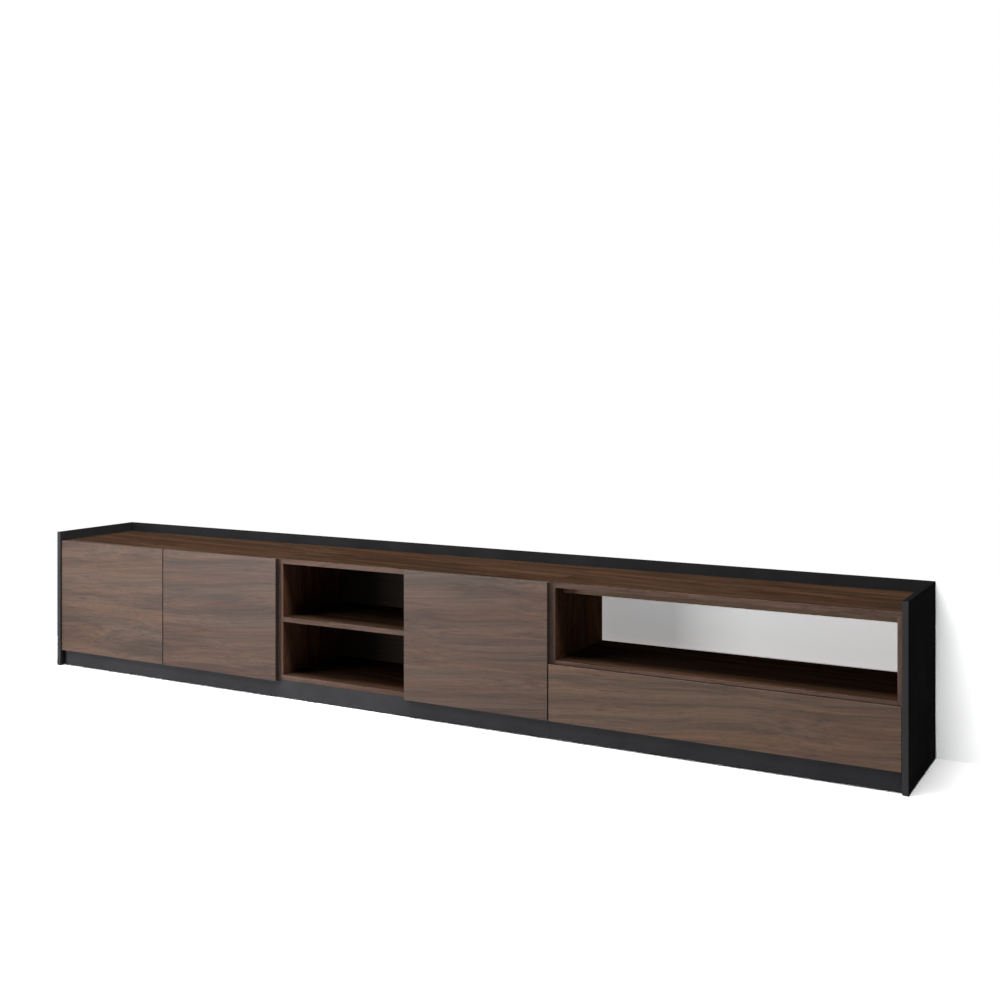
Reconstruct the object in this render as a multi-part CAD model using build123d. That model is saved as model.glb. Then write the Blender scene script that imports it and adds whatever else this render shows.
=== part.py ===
from build123d import *
import os

# A long, low television stand: three carcass modules of walnut-look board between two
# black end panels, with a black upstand along the back and a black plinth below.
# Millimetres. +X runs to the right seen from the front, +Y to the back, +Z up.
# The origin is on the floor, under the middle of the object's width and depth.

# Overall sizes
module_width = 1000.0
end_panel_thickness = 16.0
panel_depth = 370.0
board = 16.0
back_thickness = 3.0

# Plinth, carcass and upstand
plinth_height = 60.0
carcass_height = 398.0
carcass_setback = 22.0
lip_height = 32.0
upstand_thickness = 16.0
upstand_drop = 68.0
plinth_rear_inset = 8.0
plinth_brace_inset = 30.0
back_inset = 1.0
glide_height = 2.0
glide_radius = 7.0
glide_inset = 40.0

# Fronts: three doors and the drawer front
front_thickness = 16.0
front_gap = 1.0
side_reveal = 2.0
pair_gap = 3.0
front_drop = 3.0
drawer_front_height = 165.0
edge_radius = 1.0
board_ease = 0.6

# Right module: the open compartment over the drawer bay
drawer_bay_height = 139.0
stretcher_setback = 55.0
stretcher_height = 22.0

# Loose shelves and their pins
shelf_setback = 20.0
shelf_side_clearance = 0.5
shelf_back_clearance = 1.0
pin_radius = 2.5
pin_length = 16.0
pin_depth = 8.0
pin_inset = 40.0

# Cam fittings between the uprights and the boards above and below them
cam_radius = 7.5
cam_depth = 12.5
cam_recess = 0.5
cam_edge = 34.0
cam_inset = 50.0
cam_slot_width = 1.6
cam_slot_depth = 1.5
cam_slot_share = 0.6
cam_bolt_radius = 3.0
cam_bolt_bite = 10.0

# Dowels in the ends of the fixed shelves and the rail
dowel_radius = 4.0
dowel_upright_depth = 10.0
dowel_board_depth = 20.0
dowel_inset = 60.0

# Bolts that tie the modules to each other and to the end panels
tie_radius = 2.5
tie_head_radius = 6.0
tie_head_height = 2.0
tie_inset = 110.0
tie_end_inset = 110.0
tie_bite = 11.0

# Screws through the upstand
screw_radius = 2.0
screw_head_radius = 4.0
screw_head_height = 2.5
screw_bite = 20.0
screw_end_inset = 100.0
screws_per_board = 3

# Concealed hinges. Their places are measured from a front's outer corner:
# "in" runs along the door from its outer edge, "back" runs from its front face.
hinge_end_inset = 80.0
cup_edge_distance = 4.5
cup_radius = 17.5
cup_depth = 11.5
cup_wall = 1.0
cup_pivot_in = 15.0
cup_pivot_back = 10.0
knee_in = 25.0
knee_back = 9.0
arm_pivot_in = 47.5
arm_pivot_back = 30.0
arm_root_in = 19.5
arm_root_back = 55.0
arm_radius = 4.5
arm_cheek = 2.0
hinge_pin_radius = 1.5
link_radius = 2.0
link_eye_radius = 3.0
link_width = 10.0
link_side_clearance = 0.4
ear_width = 14.0
ear_reach = 12.0
ear_thickness = 0.8
mount_plate_thickness = 2.5
mount_plate_depth = 38.0
mount_plate_height = 44.0

# Push latches
latch_width = 12.0
latch_height = 14.0
latch_length = 60.0
latch_setback = 3.0
latch_inset = 26.0
drawer_latch_inset = 100.0
plunger_radius = 3.0
plunger_length = 34.0
plunger_tip_gap = 0.3
plunger_travel = 2.0

# Drawer box and its telescopic runners
drawer_side_thickness = 12.0
drawer_side_height = 100.0
drawer_floor_gap = 8.0
drawer_bottom_thickness = 3.0
drawer_bottom_lift = 8.0
groove_depth = 5.0
runner_space = 13.0
runner_length = 300.0
runner_front_inset = 3.0
runner_rear_inset = 2.0
runner_lift = 41.0
runner_height = 45.0
runner_metal = 1.2
runner_gap = 0.4
runner_web_gap = 0.8

# Clearances that several fits share
fit_gap = 0.05
cut_overrun = 1.0
cup_fit_gap = 0.1

# Places worked out from the sizes above
module_count = 3
overall_width = module_count * module_width + 2 * end_panel_thickness
left_face = -overall_width / 2
panel_front = -panel_depth / 2
panel_back = panel_depth / 2
carcass_front = panel_front + carcass_setback
upstand_front = panel_back - upstand_thickness
board_back = upstand_front - back_thickness
front_rear = carcass_front - front_gap
front_face = front_rear - front_thickness
bottom_top = plinth_height + board
top_surface = plinth_height + carcass_height
panel_height = top_surface + lip_height
top_under = top_surface - board
upright_height = top_under - bottom_top
shelf_under = bottom_top + (upright_height - board) / 2
shelf_top = shelf_under + board
mid_under = bottom_top + drawer_bay_height
mid_top = mid_under + board
front_bottom = plinth_height - front_drop
left_module, middle_module, right_module = range(module_count)


def module_left(index):
    """X of a module's left outer face."""
    return left_face + end_panel_thickness + index * module_width


def module_right(index):
    """X of a module's right outer face."""
    return module_left(index) + module_width


def module_centre(index):
    """X of a module's middle."""
    return module_left(index) + module_width / 2


def bay(index, left_half):
    """The clear width of half a module, between an outer upright and the middle one."""
    if left_half:
        return (module_left(index) + board, module_centre(index) - board / 2)
    return (module_centre(index) + board / 2, module_right(index) - board)


left_bay = bay(left_module, True)
right_bay = bay(left_module, False)
niche_bay = bay(middle_module, True)
cupboard_bay = bay(middle_module, False)
wide_bay = (module_left(right_module) + board, module_right(right_module) - board)
stretcher_front = carcass_front + stretcher_setback


def slab(x, y, z):
    """A square-cornered block between two values on each axis."""
    size = [high - low for low, high in (x, y, z)]
    corner = (x[0], y[0], z[0])
    return Pos(*corner) * Box(*size, align=(Align.MIN, Align.MIN, Align.MIN))


def rod(start, direction, radius, length):
    """A round bar that starts at a point and runs along a direction."""
    plane = Plane(origin=start, z_dir=direction)
    return plane * Cylinder(radius, length, align=(Align.CENTER, Align.CENTER, Align.MIN))


def strap(start, end, radius, low, high):
    """A flat bar with round ends, drawn in plan and standing between two heights."""
    run = Vector(*end) - Vector(*start)
    middle = (Vector(*start) + Vector(*end)) / 2
    angle = Vector(1, 0).get_signed_angle(run, Vector(0, 0, 1))
    outline = SlotCenterToCenter(run.length, 2 * radius)
    plan = Pos(middle.X, middle.Y, low) * Rot(0, 0, angle) * outline
    return extrude(plan, high - low)


def eased(solid, radius=board_ease):
    """The solid with the edges of its front face rounded off."""
    return fillet(solid.edges().group_by(Axis.Y)[0], radius)


def rounded(solid, radius=edge_radius):
    """The solid with all its edges rounded off."""
    return fillet(solid.edges(), radius)


def group(solids):
    """Several separate solids kept as one node."""
    return Compound(children=list(solids))


def front_and_back(inset):
    """The two depths, an inset from the front and from the back of an upright."""
    return (carcass_front + inset, board_back - inset)


# Fittings that are drilled into the boards


def cam_places(face, facing):
    """Where an upright's four cams go: the centre on its face, and up or down."""
    ends = ((top_under, 1), (bottom_top, -1))
    for depth in front_and_back(cam_inset):
        for end, upwards in ends:
            yield (face, depth, end - upwards * cam_edge), facing, upwards, end


def cam_holes(face, facing):
    """What an upright loses to its cams and to their bolts."""
    for (x, y, z), side, upwards, end in cam_places(face, facing):
        start = (x + side * cut_overrun, y, z)
        yield rod(start, (-side, 0, 0), cam_radius, cam_depth + cut_overrun)
        bolt = (x - side * board / 2, y, z)
        yield rod(bolt, (0, 0, upwards), cam_bolt_radius + fit_gap, cam_edge + cut_overrun)


def cam_bolt_holes(face, facing, end_wanted):
    """What the board above or below an upright loses to the cam bolts."""
    for (x, y, z), side, upwards, end in cam_places(face, facing):
        if end == end_wanted:
            start = (x - side * board / 2, y, end - upwards * cut_overrun)
            length = cam_bolt_bite + cut_overrun
            yield rod(start, (0, 0, upwards), cam_bolt_radius + fit_gap, length)


def cam_locks(face, facing):
    """The cams of one upright, each with its driver slot."""
    for (x, y, z), side, upwards, end in cam_places(face, facing):
        cam_face = x - side * cam_recess
        body = rod((cam_face, y, z), (-side, 0, 0), cam_radius - fit_gap, cam_depth - cam_recess)
        reach = cam_radius * cam_slot_share
        slot_x = sorted((x, cam_face - side * cam_slot_depth))
        slot_y = (y - cam_slot_width / 2, y + cam_slot_width / 2)
        yield body - slab(slot_x, slot_y, (z - reach, z + reach))


def cam_bolts(face, facing):
    """The bolts that the cams of one upright draw in."""
    for (x, y, z), side, upwards, end in cam_places(face, facing):
        start = (x - side * board / 2, y, z + upwards * (cam_radius + fit_gap))
        length = cam_edge - cam_radius - fit_gap + cam_bolt_bite
        yield rod(start, (0, 0, upwards), cam_bolt_radius, length)


def dowel_places():
    """Depth and height of the dowels in each fixed board, by the board's name."""
    depths = front_and_back(dowel_inset)
    rail_centre = (stretcher_front + board / 2, top_under - stretcher_height / 2)
    return {
        "niche_shelf": [(depth, shelf_under + board / 2) for depth in depths],
        "mid_board": [(depth, mid_under + board / 2) for depth in depths],
        "rail": [rail_centre],
    }


def dowels(board_name, low, high, gap=0.0):
    """A fixed board's dowels between two walls, or with a gap the holes that they need."""
    length = dowel_upright_depth + dowel_board_depth + 2 * gap
    for y, z in dowel_places()[board_name]:
        for wall, inwards in ((low, 1), (high, -1)):
            start = (wall - inwards * (dowel_upright_depth + gap), y, z)
            yield rod(start, (inwards, 0, 0), dowel_radius + gap, length)


def tie_places():
    """Depth and height of each tie bolt on a joint between uprights."""
    for depth in front_and_back(tie_inset):
        for height in (bottom_top + tie_end_inset, top_under - tie_end_inset):
            yield depth, height


def tie_holes(low, high):
    """The holes that the tie bolts pass through, between two X values."""
    for y, z in tie_places():
        yield rod((low, y, z), (1, 0, 0), tie_radius + fit_gap, high - low)


def tie_bolts(joint_face, outwards):
    """The bolts driven from inside a module into what stands against its outer face."""
    for y, z in tie_places():
        inner = joint_face - outwards * board
        shank = rod((inner, y, z), (outwards, 0, 0), tie_radius, board + tie_bite)
        head = rod((inner, y, z), (-outwards, 0, 0), tie_head_radius, tie_head_height)
        yield shank + head


def screw_places(index):
    """X of each screw through one board of the upstand."""
    start = module_left(index) + screw_end_inset
    step = (module_width - 2 * screw_end_inset) / (screws_per_board - 1)
    return [start + step * count for count in range(screws_per_board)]


def screw_centre_height():
    """The upstand's screws run into the middle of the top's rear edge."""
    return top_surface - board / 2


def upstand_screws(index, gap=0.0, overrun=0.0):
    """The screws of one upstand board, or with a gap the holes that they need."""
    for x in screw_places(index):
        start = (x, panel_back + overrun, screw_centre_height())
        length = upstand_thickness + screw_bite + overrun
        shank = rod(start, (0, -1, 0), screw_radius + gap, length + gap)
        head_length = screw_head_height + overrun
        yield shank + rod(start, (0, -1, 0), screw_head_radius + gap, head_length)


def pin_places(low, high):
    """Where a loose shelf's four pins stand: on the wall, and the way they point."""
    shelf_front = carcass_front + shelf_setback
    for depth in (shelf_front + pin_inset, board_back - pin_inset):
        yield (low, depth, shelf_under - pin_radius), 1
        yield (high, depth, shelf_under - pin_radius), -1


def pin_holes(low, high):
    """The blind holes for a loose shelf's pins."""
    for (x, y, z), inwards in pin_places(low, high):
        start = (x + inwards * cut_overrun, y, z)
        length = pin_depth + cut_overrun + fit_gap
        yield rod(start, (-inwards, 0, 0), pin_radius + fit_gap, length)


def shelf_pins(low, high):
    """The pins under one loose shelf."""
    for (x, y, z), inwards in pin_places(low, high):
        start = (x - inwards * pin_depth, y, z)
        yield rod(start, (inwards, 0, 0), pin_radius, pin_length)


# Carcass boards


def upright(low, facing, bays=()):
    """An upright board from its left face, with its cams cut on the facing side."""
    face = low + board if facing > 0 else low
    body = slab((low, low + board), (carcass_front, board_back), (bottom_top, top_under))
    cuts = list(cam_holes(face, facing))
    for bay in bays:
        cuts += list(pin_holes(*bay))
    return eased(body) - cuts


def outer_upright(index, outwards, bays=()):
    """A module's left (-1) or right (+1) upright. Its cams hide in its outer face.

    The tie bolts pass through it, but end inside a left upright that follows another module.
    """
    low = module_left(index) if outwards < 0 else module_right(index) - board
    holes_end = low + board + cut_overrun
    if outwards < 0 and index != left_module:
        holes_end = low + tie_bite + fit_gap
    holes = list(tie_holes(low - cut_overrun, holes_end))
    return upright(low, outwards, bays) - holes


def uprights_of(index):
    """The cams' face and facing of each upright in a module."""
    places = [(module_left(index), -1), (module_right(index), 1)]
    if index != right_module:
        places.append((module_centre(index) + board / 2, 1))
    return places


def module_top(index):
    """A module's top board, which also covers the rear edge of the back."""
    x = (module_left(index), module_right(index))
    body = slab(x, (carcass_front, upstand_front), (top_under, top_surface))
    cuts = list(upstand_screws(index, fit_gap))
    for face, facing in uprights_of(index):
        cuts += list(cam_bolt_holes(face, facing, top_under))
    return eased(body) - cuts


def module_bottom(index):
    """A module's bottom board, which lies on the plinth."""
    x = (module_left(index), module_right(index))
    body = slab(x, (carcass_front, board_back), (plinth_height, bottom_top))
    cuts = []
    for face, facing in uprights_of(index):
        cuts += list(cam_bolt_holes(face, facing, bottom_top))
    return eased(body) - cuts


def module_back(index, height_top):
    """The thin back behind a module, up to a height."""
    x = (module_left(index) + back_inset, module_right(index) - back_inset)
    return slab(x, (board_back, upstand_front), (plinth_height, height_top))


def fixed_shelf(x, under, top, name):
    """A shelf that is dowelled between two uprights, flush with their front edges."""
    body = eased(slab(x, (carcass_front, board_back), (under, top)))
    return body - list(dowels(name, *x, fit_gap))


def stretcher_rail():
    """The rail under the right module's top, set back from its front edge."""
    y = (stretcher_front, stretcher_front + board)
    body = eased(slab(wide_bay, y, (top_under - stretcher_height, top_under)))
    return body - list(dowels("rail", *wide_bay, fit_gap))


def loose_shelf(x):
    """A shelf that lies on pins, set back from the door."""
    low, high = x
    width = (low + shelf_side_clearance, high - shelf_side_clearance)
    depth = (carcass_front + shelf_setback, board_back - shelf_back_clearance)
    return eased(slab(width, depth, (shelf_under, shelf_top)))


# Outside boards: end panels, upstand, plinth and glides


def end_panel(outwards):
    """The black panel at one end, with the blind holes for its bolts."""
    inner = outwards * (overall_width / 2 - end_panel_thickness)
    x = sorted((inner, inner + outwards * end_panel_thickness))
    body = rounded(slab(x, (panel_front, panel_back), (glide_height, panel_height)))
    bite = tie_bite + fit_gap
    holes = list(tie_holes(*sorted((inner - outwards * cut_overrun, inner + outwards * bite))))
    return body - holes


def upstand(index):
    """One module's length of the upstand, on the back of the carcass."""
    x = (module_left(index), module_right(index))
    y = (upstand_front, panel_back)
    body = eased(slab(x, y, (top_surface - upstand_drop, panel_height)))
    return body - list(upstand_screws(index, fit_gap, cut_overrun))


def plinth_front(index):
    """One module's plinth board, flush with the carcass edges above it."""
    x = (module_left(index), module_right(index))
    y = (carcass_front, carcass_front + board)
    return eased(slab(x, y, (glide_height, plinth_height)))


def plinth_rear_span():
    """The depths between which the rear plinth board stands."""
    rear = board_back - plinth_rear_inset
    return (rear - board, rear)


def plinth_rear(index):
    """One module's rear plinth board."""
    x = (module_left(index), module_right(index))
    return slab(x, plinth_rear_span(), (glide_height, plinth_height))


def plinth_braces(index):
    """The three boards that tie a module's front and rear plinth together."""
    y = (carcass_front + board, plinth_rear_span()[0])
    reach = module_width / 2 - plinth_brace_inset - board / 2
    for offset in (-reach, 0, reach):
        middle = module_centre(index) + offset
        yield slab((middle - board / 2, middle + board / 2), y, (glide_height, plinth_height))


def glides():
    """The pads under the end panels and under the plinth boards."""
    plinth_depths = (carcass_front + board / 2, sum(plinth_rear_span()) / 2)
    for index in range(module_count):
        for x in (module_left(index) + glide_inset, module_right(index) - glide_inset):
            for y in plinth_depths:
                yield rod((x, y, 0), (0, 0, 1), glide_radius, glide_height)
    for side in (-1, 1):
        x = side * (overall_width / 2 - end_panel_thickness / 2)
        for y in (panel_front + glide_inset, panel_back - glide_inset):
            yield rod((x, y, 0), (0, 0, 1), glide_radius, glide_height)


# Doors and their hinges


class DoorPlace:
    """Where one door stands: its outer, hinged edge and the way that it runs from there."""

    def __init__(self, hinge_edge, hand, width):
        self.hinge_edge = hinge_edge
        self.hand = hand
        self.width = width

    def at(self, inwards, backwards):
        """X and Y of a place measured from the door's outer front corner."""
        return (self.hinge_edge + self.hand * inwards, front_face + backwards)

    def hinge_heights(self):
        """Z of the lower and the upper hinge."""
        return (front_bottom + hinge_end_inset, top_surface - hinge_end_inset)


half_width = module_width / 2 - side_reveal - pair_gap / 2
left_door_place = DoorPlace(module_left(left_module) + side_reveal, 1, half_width)
middle_door_place = DoorPlace(module_right(left_module) - side_reveal, -1, half_width)
right_door_place = DoorPlace(module_right(middle_module) - side_reveal, -1, half_width)


def cup_centre():
    """The cup's centre, inwards from the door's outer edge."""
    return cup_edge_distance + cup_radius


def door(place):
    """A door leaf with the blind bores for its two hinge cups."""
    x = sorted((place.hinge_edge, place.hinge_edge + place.hand * place.width))
    leaf = rounded(slab(x, (front_face, front_rear), (front_bottom, top_surface)))
    bores = []
    for z in place.hinge_heights():
        centre_x, rear_y = place.at(cup_centre(), front_thickness)
        start = (centre_x, rear_y + cut_overrun, z)
        bores.append(rod(start, (0, -1, 0), cup_radius, cup_depth + cut_overrun + cup_fit_gap))
    return leaf - bores


def hinge_cup(place, z):
    """A pressed cup with its two screw ears and the pin that the link turns on."""
    centre_x, rear_y = place.at(cup_centre(), front_thickness)
    outer = cup_radius - cup_fit_gap
    shell = rod((centre_x, rear_y, z), (0, -1, 0), outer, cup_depth)
    hollow_start = (centre_x, rear_y + cut_overrun, z)
    hollow_depth = cup_depth - cup_wall + cut_overrun
    shell -= rod(hollow_start, (0, -1, 0), outer - cup_wall, hollow_depth)
    ear_x = (centre_x - ear_width / 2, centre_x + ear_width / 2)
    ear_y = (rear_y, rear_y + ear_thickness)
    near = outer - cup_wall / 2
    far = outer + ear_reach
    ears = [slab(ear_x, ear_y, (z + near, z + far)), slab(ear_x, ear_y, (z - far, z - near))]
    pin_x, pin_y = place.at(cup_pivot_in, cup_pivot_back)
    pin = rod((pin_x, pin_y, z - outer), (0, 0, 1), hinge_pin_radius, 2 * outer)
    pin &= rod((centre_x, rear_y, z), (0, -1, 0), outer - cup_wall / 2, cup_depth)
    return shell + ears + pin


def hinge_link(place, z):
    """The bent strap between the arm's pin and the cup's pin."""
    low = z - link_width / 2
    high = z + link_width / 2
    cup_pin = place.at(cup_pivot_in, cup_pivot_back)
    knee = place.at(knee_in, knee_back)
    arm_pin = place.at(arm_pivot_in, arm_pivot_back)
    link = strap(cup_pin, knee, link_radius, low, high) + strap(knee, arm_pin, link_radius, low, high)
    for pin in (cup_pin, arm_pin):
        link += rod((*pin, low), (0, 0, 1), link_eye_radius, link_width)
    bore_length = link_width + 2 * cut_overrun
    for pin in (cup_pin, arm_pin):
        link -= rod((*pin, low - cut_overrun), (0, 0, 1), hinge_pin_radius + fit_gap, bore_length)
    return link


def hinge_arm(place, z):
    """The arm on its mounting plate: two cheeks with a pin through them."""
    overlay = board - side_reveal
    plate_front = arm_root_back - mount_plate_depth / 2
    corner_a = place.at(overlay, plate_front)
    corner_b = place.at(overlay + mount_plate_thickness, plate_front + mount_plate_depth)
    plate_x = sorted((corner_a[0], corner_b[0]))
    plate_z = (z - mount_plate_height / 2, z + mount_plate_height / 2)
    arm = slab(plate_x, (corner_a[1], corner_b[1]), plate_z)
    pin_place = place.at(arm_pivot_in, arm_pivot_back)
    root = place.at(arm_root_in, arm_root_back)
    inner = link_width / 2 + link_side_clearance
    outer = inner + arm_cheek
    for low, high in ((z + inner, z + outer), (z - outer, z - inner)):
        arm += strap(pin_place, root, arm_radius, low, high)
    return arm + rod((*pin_place, z - outer), (0, 0, 1), hinge_pin_radius, 2 * outer)


# Push latches


def latch_housing(x, under):
    """A latch body screwed under a board, with the bore that its plunger slides in."""
    y_front = carcass_front + latch_setback
    body = slab(
        (x - latch_width / 2, x + latch_width / 2),
        (y_front, y_front + latch_length),
        (under - latch_height, under),
    )
    bore_depth = plunger_length + front_rear + plunger_tip_gap + 2 * plunger_travel - y_front
    start = (x, y_front - cut_overrun, under - latch_height / 2)
    return body - rod(start, (0, 1, 0), plunger_radius + fit_gap, bore_depth + cut_overrun)


def latch_plunger(x, under):
    """The plunger that meets the back of the front when it is closed."""
    start = (x, front_rear + plunger_tip_gap, under - latch_height / 2)
    return rod(start, (0, 1, 0), plunger_radius, plunger_length)


door_latch_places = {
    "left_door_plunger": (module_centre(left_module) - board / 2 - latch_inset, top_under),
    "middle_door_plunger": (module_centre(left_module) + board / 2 + latch_inset, top_under),
    "right_door_plunger": (module_centre(middle_module) + board / 2 + latch_inset, top_under),
}
drawer_latch_places = [
    (wide_bay[0] + drawer_latch_inset, mid_under),
    (wide_bay[1] - drawer_latch_inset, mid_under),
]


# Drawer


box_left = wide_bay[0] + runner_space
box_right = wide_bay[1] - runner_space
box_low = bottom_top + drawer_floor_gap
box_high = box_low + drawer_side_height
box_back = front_rear + runner_front_inset + runner_length + runner_rear_inset
bottom_low = box_low + drawer_bottom_lift
bottom_high = bottom_low + drawer_bottom_thickness
runner_height_centre = bottom_top + drawer_floor_gap + runner_lift


def drawer_front():
    """The full-width drawer front."""
    x = (module_left(right_module) + side_reveal, module_right(right_module) - side_reveal)
    z = (front_bottom, front_bottom + drawer_front_height)
    return rounded(slab(x, (front_face, front_rear), z))


def drawer_side(inner_face, outwards):
    """One side of the drawer box, grooved for the bottom."""
    x = sorted((inner_face, inner_face + outwards * drawer_side_thickness))
    body = slab(x, (front_rear, box_back), (box_low, box_high))
    groove_end = inner_face + outwards * (groove_depth + fit_gap)
    groove_x = sorted((inner_face - outwards * cut_overrun, groove_end))
    groove_y = (front_rear - cut_overrun, box_back + cut_overrun)
    return body - slab(groove_x, groove_y, (bottom_low - fit_gap, bottom_high + fit_gap))


def drawer_box():
    """The drawer's two sides, its back and its bottom."""
    inner_left = box_left + drawer_side_thickness
    inner_right = box_right - drawer_side_thickness
    sides = group([drawer_side(inner_left, -1), drawer_side(inner_right, 1)])
    back_y = (box_back - drawer_side_thickness, box_back)
    back = slab((inner_left, inner_right), back_y, (bottom_high + fit_gap, box_high))
    bottom_x = (inner_left - groove_depth, inner_right + groove_depth)
    bottom = slab(bottom_x, (front_rear, box_back), (bottom_low, bottom_high))
    return {"drawer_sides": sides, "drawer_back": back, "drawer_bottom": bottom}


def channel(web, mouth, half_height):
    """A runner member: a C-shaped channel from its web to its mouth, both X values."""
    inwards = 1 if mouth > web else -1
    y_front = front_rear + runner_front_inset
    y = (y_front, y_front + runner_length)
    z = (runner_height_centre - half_height, runner_height_centre + half_height)
    body = slab(sorted((web, mouth)), y, z)
    hollow_x = sorted((web + inwards * runner_metal, mouth + inwards * cut_overrun))
    hollow_y = (y[0] - cut_overrun, y[1] + cut_overrun)
    hollow_z = (z[0] + runner_metal, z[1] - runner_metal)
    return body - slab(hollow_x, hollow_y, hollow_z)


def runner_members():
    """The fixed, the middle and the moving member of both runners."""
    nested = runner_metal + runner_gap
    fixed, middle, moving = [], [], []
    for wall, inwards in zip(wide_bay, (1, -1)):
        half = runner_height / 2
        fixed_mouth = wall + inwards * (runner_space - runner_metal - runner_gap)
        fixed.append(channel(wall, fixed_mouth, half))
        middle_web = wall + inwards * (runner_metal + runner_web_gap)
        middle.append(channel(middle_web, fixed_mouth, half - nested))
        moving_mouth = middle_web + inwards * (runner_metal + runner_web_gap)
        moving.append(channel(wall + inwards * runner_space, moving_mouth, half - 2 * nested))
    return {
        "runner_cabinet_members": group(fixed),
        "runner_middle_members": group(middle),
        "runner_drawer_members": group(moving),
    }


# The whole object, node by node


def carcass_nodes():
    """Every board of the three modules."""
    partition_low = module_centre(left_module) - board / 2
    divider_low = module_centre(middle_module) - board / 2
    niche_dowel_holes = list(dowels("niche_shelf", *niche_bay, fit_gap))
    wide_dowel_holes = [
        hole for name in ("mid_board", "rail") for hole in dowels(name, *wide_bay, fit_gap)
    ]
    return {
        "left_cabinet_left_side": outer_upright(left_module, -1, [left_bay]),
        "left_cabinet_right_side": outer_upright(left_module, 1, [right_bay]),
        "left_cabinet_partition": upright(partition_low, 1, [left_bay, right_bay]),
        "left_cabinet_top": module_top(left_module),
        "left_cabinet_bottom": module_bottom(left_module),
        "left_cabinet_back": module_back(left_module, top_under),
        "middle_cabinet_left_side": outer_upright(middle_module, -1) - niche_dowel_holes,
        "middle_cabinet_right_side": outer_upright(middle_module, 1, [cupboard_bay]),
        "middle_cabinet_divider": upright(divider_low, 1, [cupboard_bay]) - niche_dowel_holes,
        "middle_cabinet_top": module_top(middle_module),
        "middle_cabinet_bottom": module_bottom(middle_module),
        "middle_cabinet_back": module_back(middle_module, top_under),
        "niche_shelf": fixed_shelf(niche_bay, shelf_under, shelf_top, "niche_shelf"),
        "loose_shelves": group([loose_shelf(x) for x in (left_bay, right_bay, cupboard_bay)]),
        "right_cabinet_left_side": outer_upright(right_module, -1) - wide_dowel_holes,
        "right_cabinet_right_side": outer_upright(right_module, 1) - wide_dowel_holes,
        "right_cabinet_top": module_top(right_module),
        "right_cabinet_bottom": module_bottom(right_module),
        "right_cabinet_mid_board": fixed_shelf(wide_bay, mid_under, mid_top, "mid_board"),
        "right_cabinet_back": module_back(right_module, mid_top),
        "stretcher_rail": stretcher_rail(),
    }


def outside_nodes():
    """The black boards round the carcasses, and what they stand on."""
    modules = range(module_count)
    return {
        "left_end_panel": end_panel(-1),
        "right_end_panel": end_panel(1),
        "upstand_left": upstand(left_module),
        "upstand_middle": upstand(middle_module),
        "upstand_right": upstand(right_module),
        "plinth_left": plinth_front(left_module),
        "plinth_middle": plinth_front(middle_module),
        "plinth_right": plinth_front(right_module),
        "plinth_rear_boards": group([plinth_rear(index) for index in modules]),
        "plinth_braces": group([brace for index in modules for brace in plinth_braces(index)]),
        "glides": group(glides()),
    }


def door_nodes():
    """The doors with their cups, links and arms, and the push latches."""
    places = {"left": left_door_place, "middle": middle_door_place, "right": right_door_place}
    nodes = {}
    arms = []
    for name, place in places.items():
        heights = place.hinge_heights()
        nodes[f"{name}_door"] = door(place)
        nodes[f"{name}_hinge_cups"] = group([hinge_cup(place, z) for z in heights])
        nodes[f"{name}_hinge_links"] = group([hinge_link(place, z) for z in heights])
        arms += [hinge_arm(place, z) for z in heights]
    nodes["hinge_arms"] = group(arms)
    latches = list(door_latch_places.values()) + drawer_latch_places
    nodes["latch_housings"] = group([latch_housing(*place) for place in latches])
    for name, place in door_latch_places.items():
        nodes[name] = latch_plunger(*place)
    nodes["drawer_plungers"] = group([latch_plunger(*place) for place in drawer_latch_places])
    return nodes


def fastener_nodes():
    """The cams, bolts, screws and shelf pins, each kind as one group."""
    uprights = [place for index in range(module_count) for place in uprights_of(index)]
    cams = [cam for face, facing in uprights for cam in cam_locks(face, facing)]
    bolts = [bolt for face, facing in uprights for bolt in cam_bolts(face, facing)]
    ties = list(tie_bolts(module_left(left_module), -1))
    for index in range(module_count):
        ties += list(tie_bolts(module_right(index), 1))
    screws = [screw for index in range(module_count) for screw in upstand_screws(index)]
    pins = [pin for x in (left_bay, right_bay, cupboard_bay) for pin in shelf_pins(*x)]
    fixed_ends = (("niche_shelf", niche_bay), ("mid_board", wide_bay), ("rail", wide_bay))
    dowel_set = [dowel for name, x in fixed_ends for dowel in dowels(name, *x)]
    return {
        "cam_locks": group(cams),
        "cam_bolts": group(bolts),
        "tie_bolts": group(ties),
        "upstand_screws": group(screws),
        "shelf_pins": group(pins),
        "shelf_dowels": group(dowel_set),
    }


def drawer_nodes():
    """The drawer and its runners."""
    return {"drawer_front": drawer_front(), **drawer_box(), **runner_members()}


os.makedirs("parts", exist_ok=True)
nodes = {
    **carcass_nodes(),
    **outside_nodes(),
    **door_nodes(),
    **drawer_nodes(),
    **fastener_nodes(),
}
for node_name, shape in nodes.items():
    export_step(shape, f"parts/{node_name}.step")
print(len(nodes), "nodes written")
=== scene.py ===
"""Visual model of a long, low television stand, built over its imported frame.

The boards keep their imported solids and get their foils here. Lengths are metres in the frame's
axes: +X to the right seen from the front, +Y towards the back, +Z up. Sizes that are easier to
read in millimetres are written as a number times MM.
"""

from __future__ import annotations

import logging
import math
from dataclasses import dataclass, replace
from enum import Enum
from typing import Any, Iterable, Union

import bmesh
import bpy
from mathutils import Matrix, Vector


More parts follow.
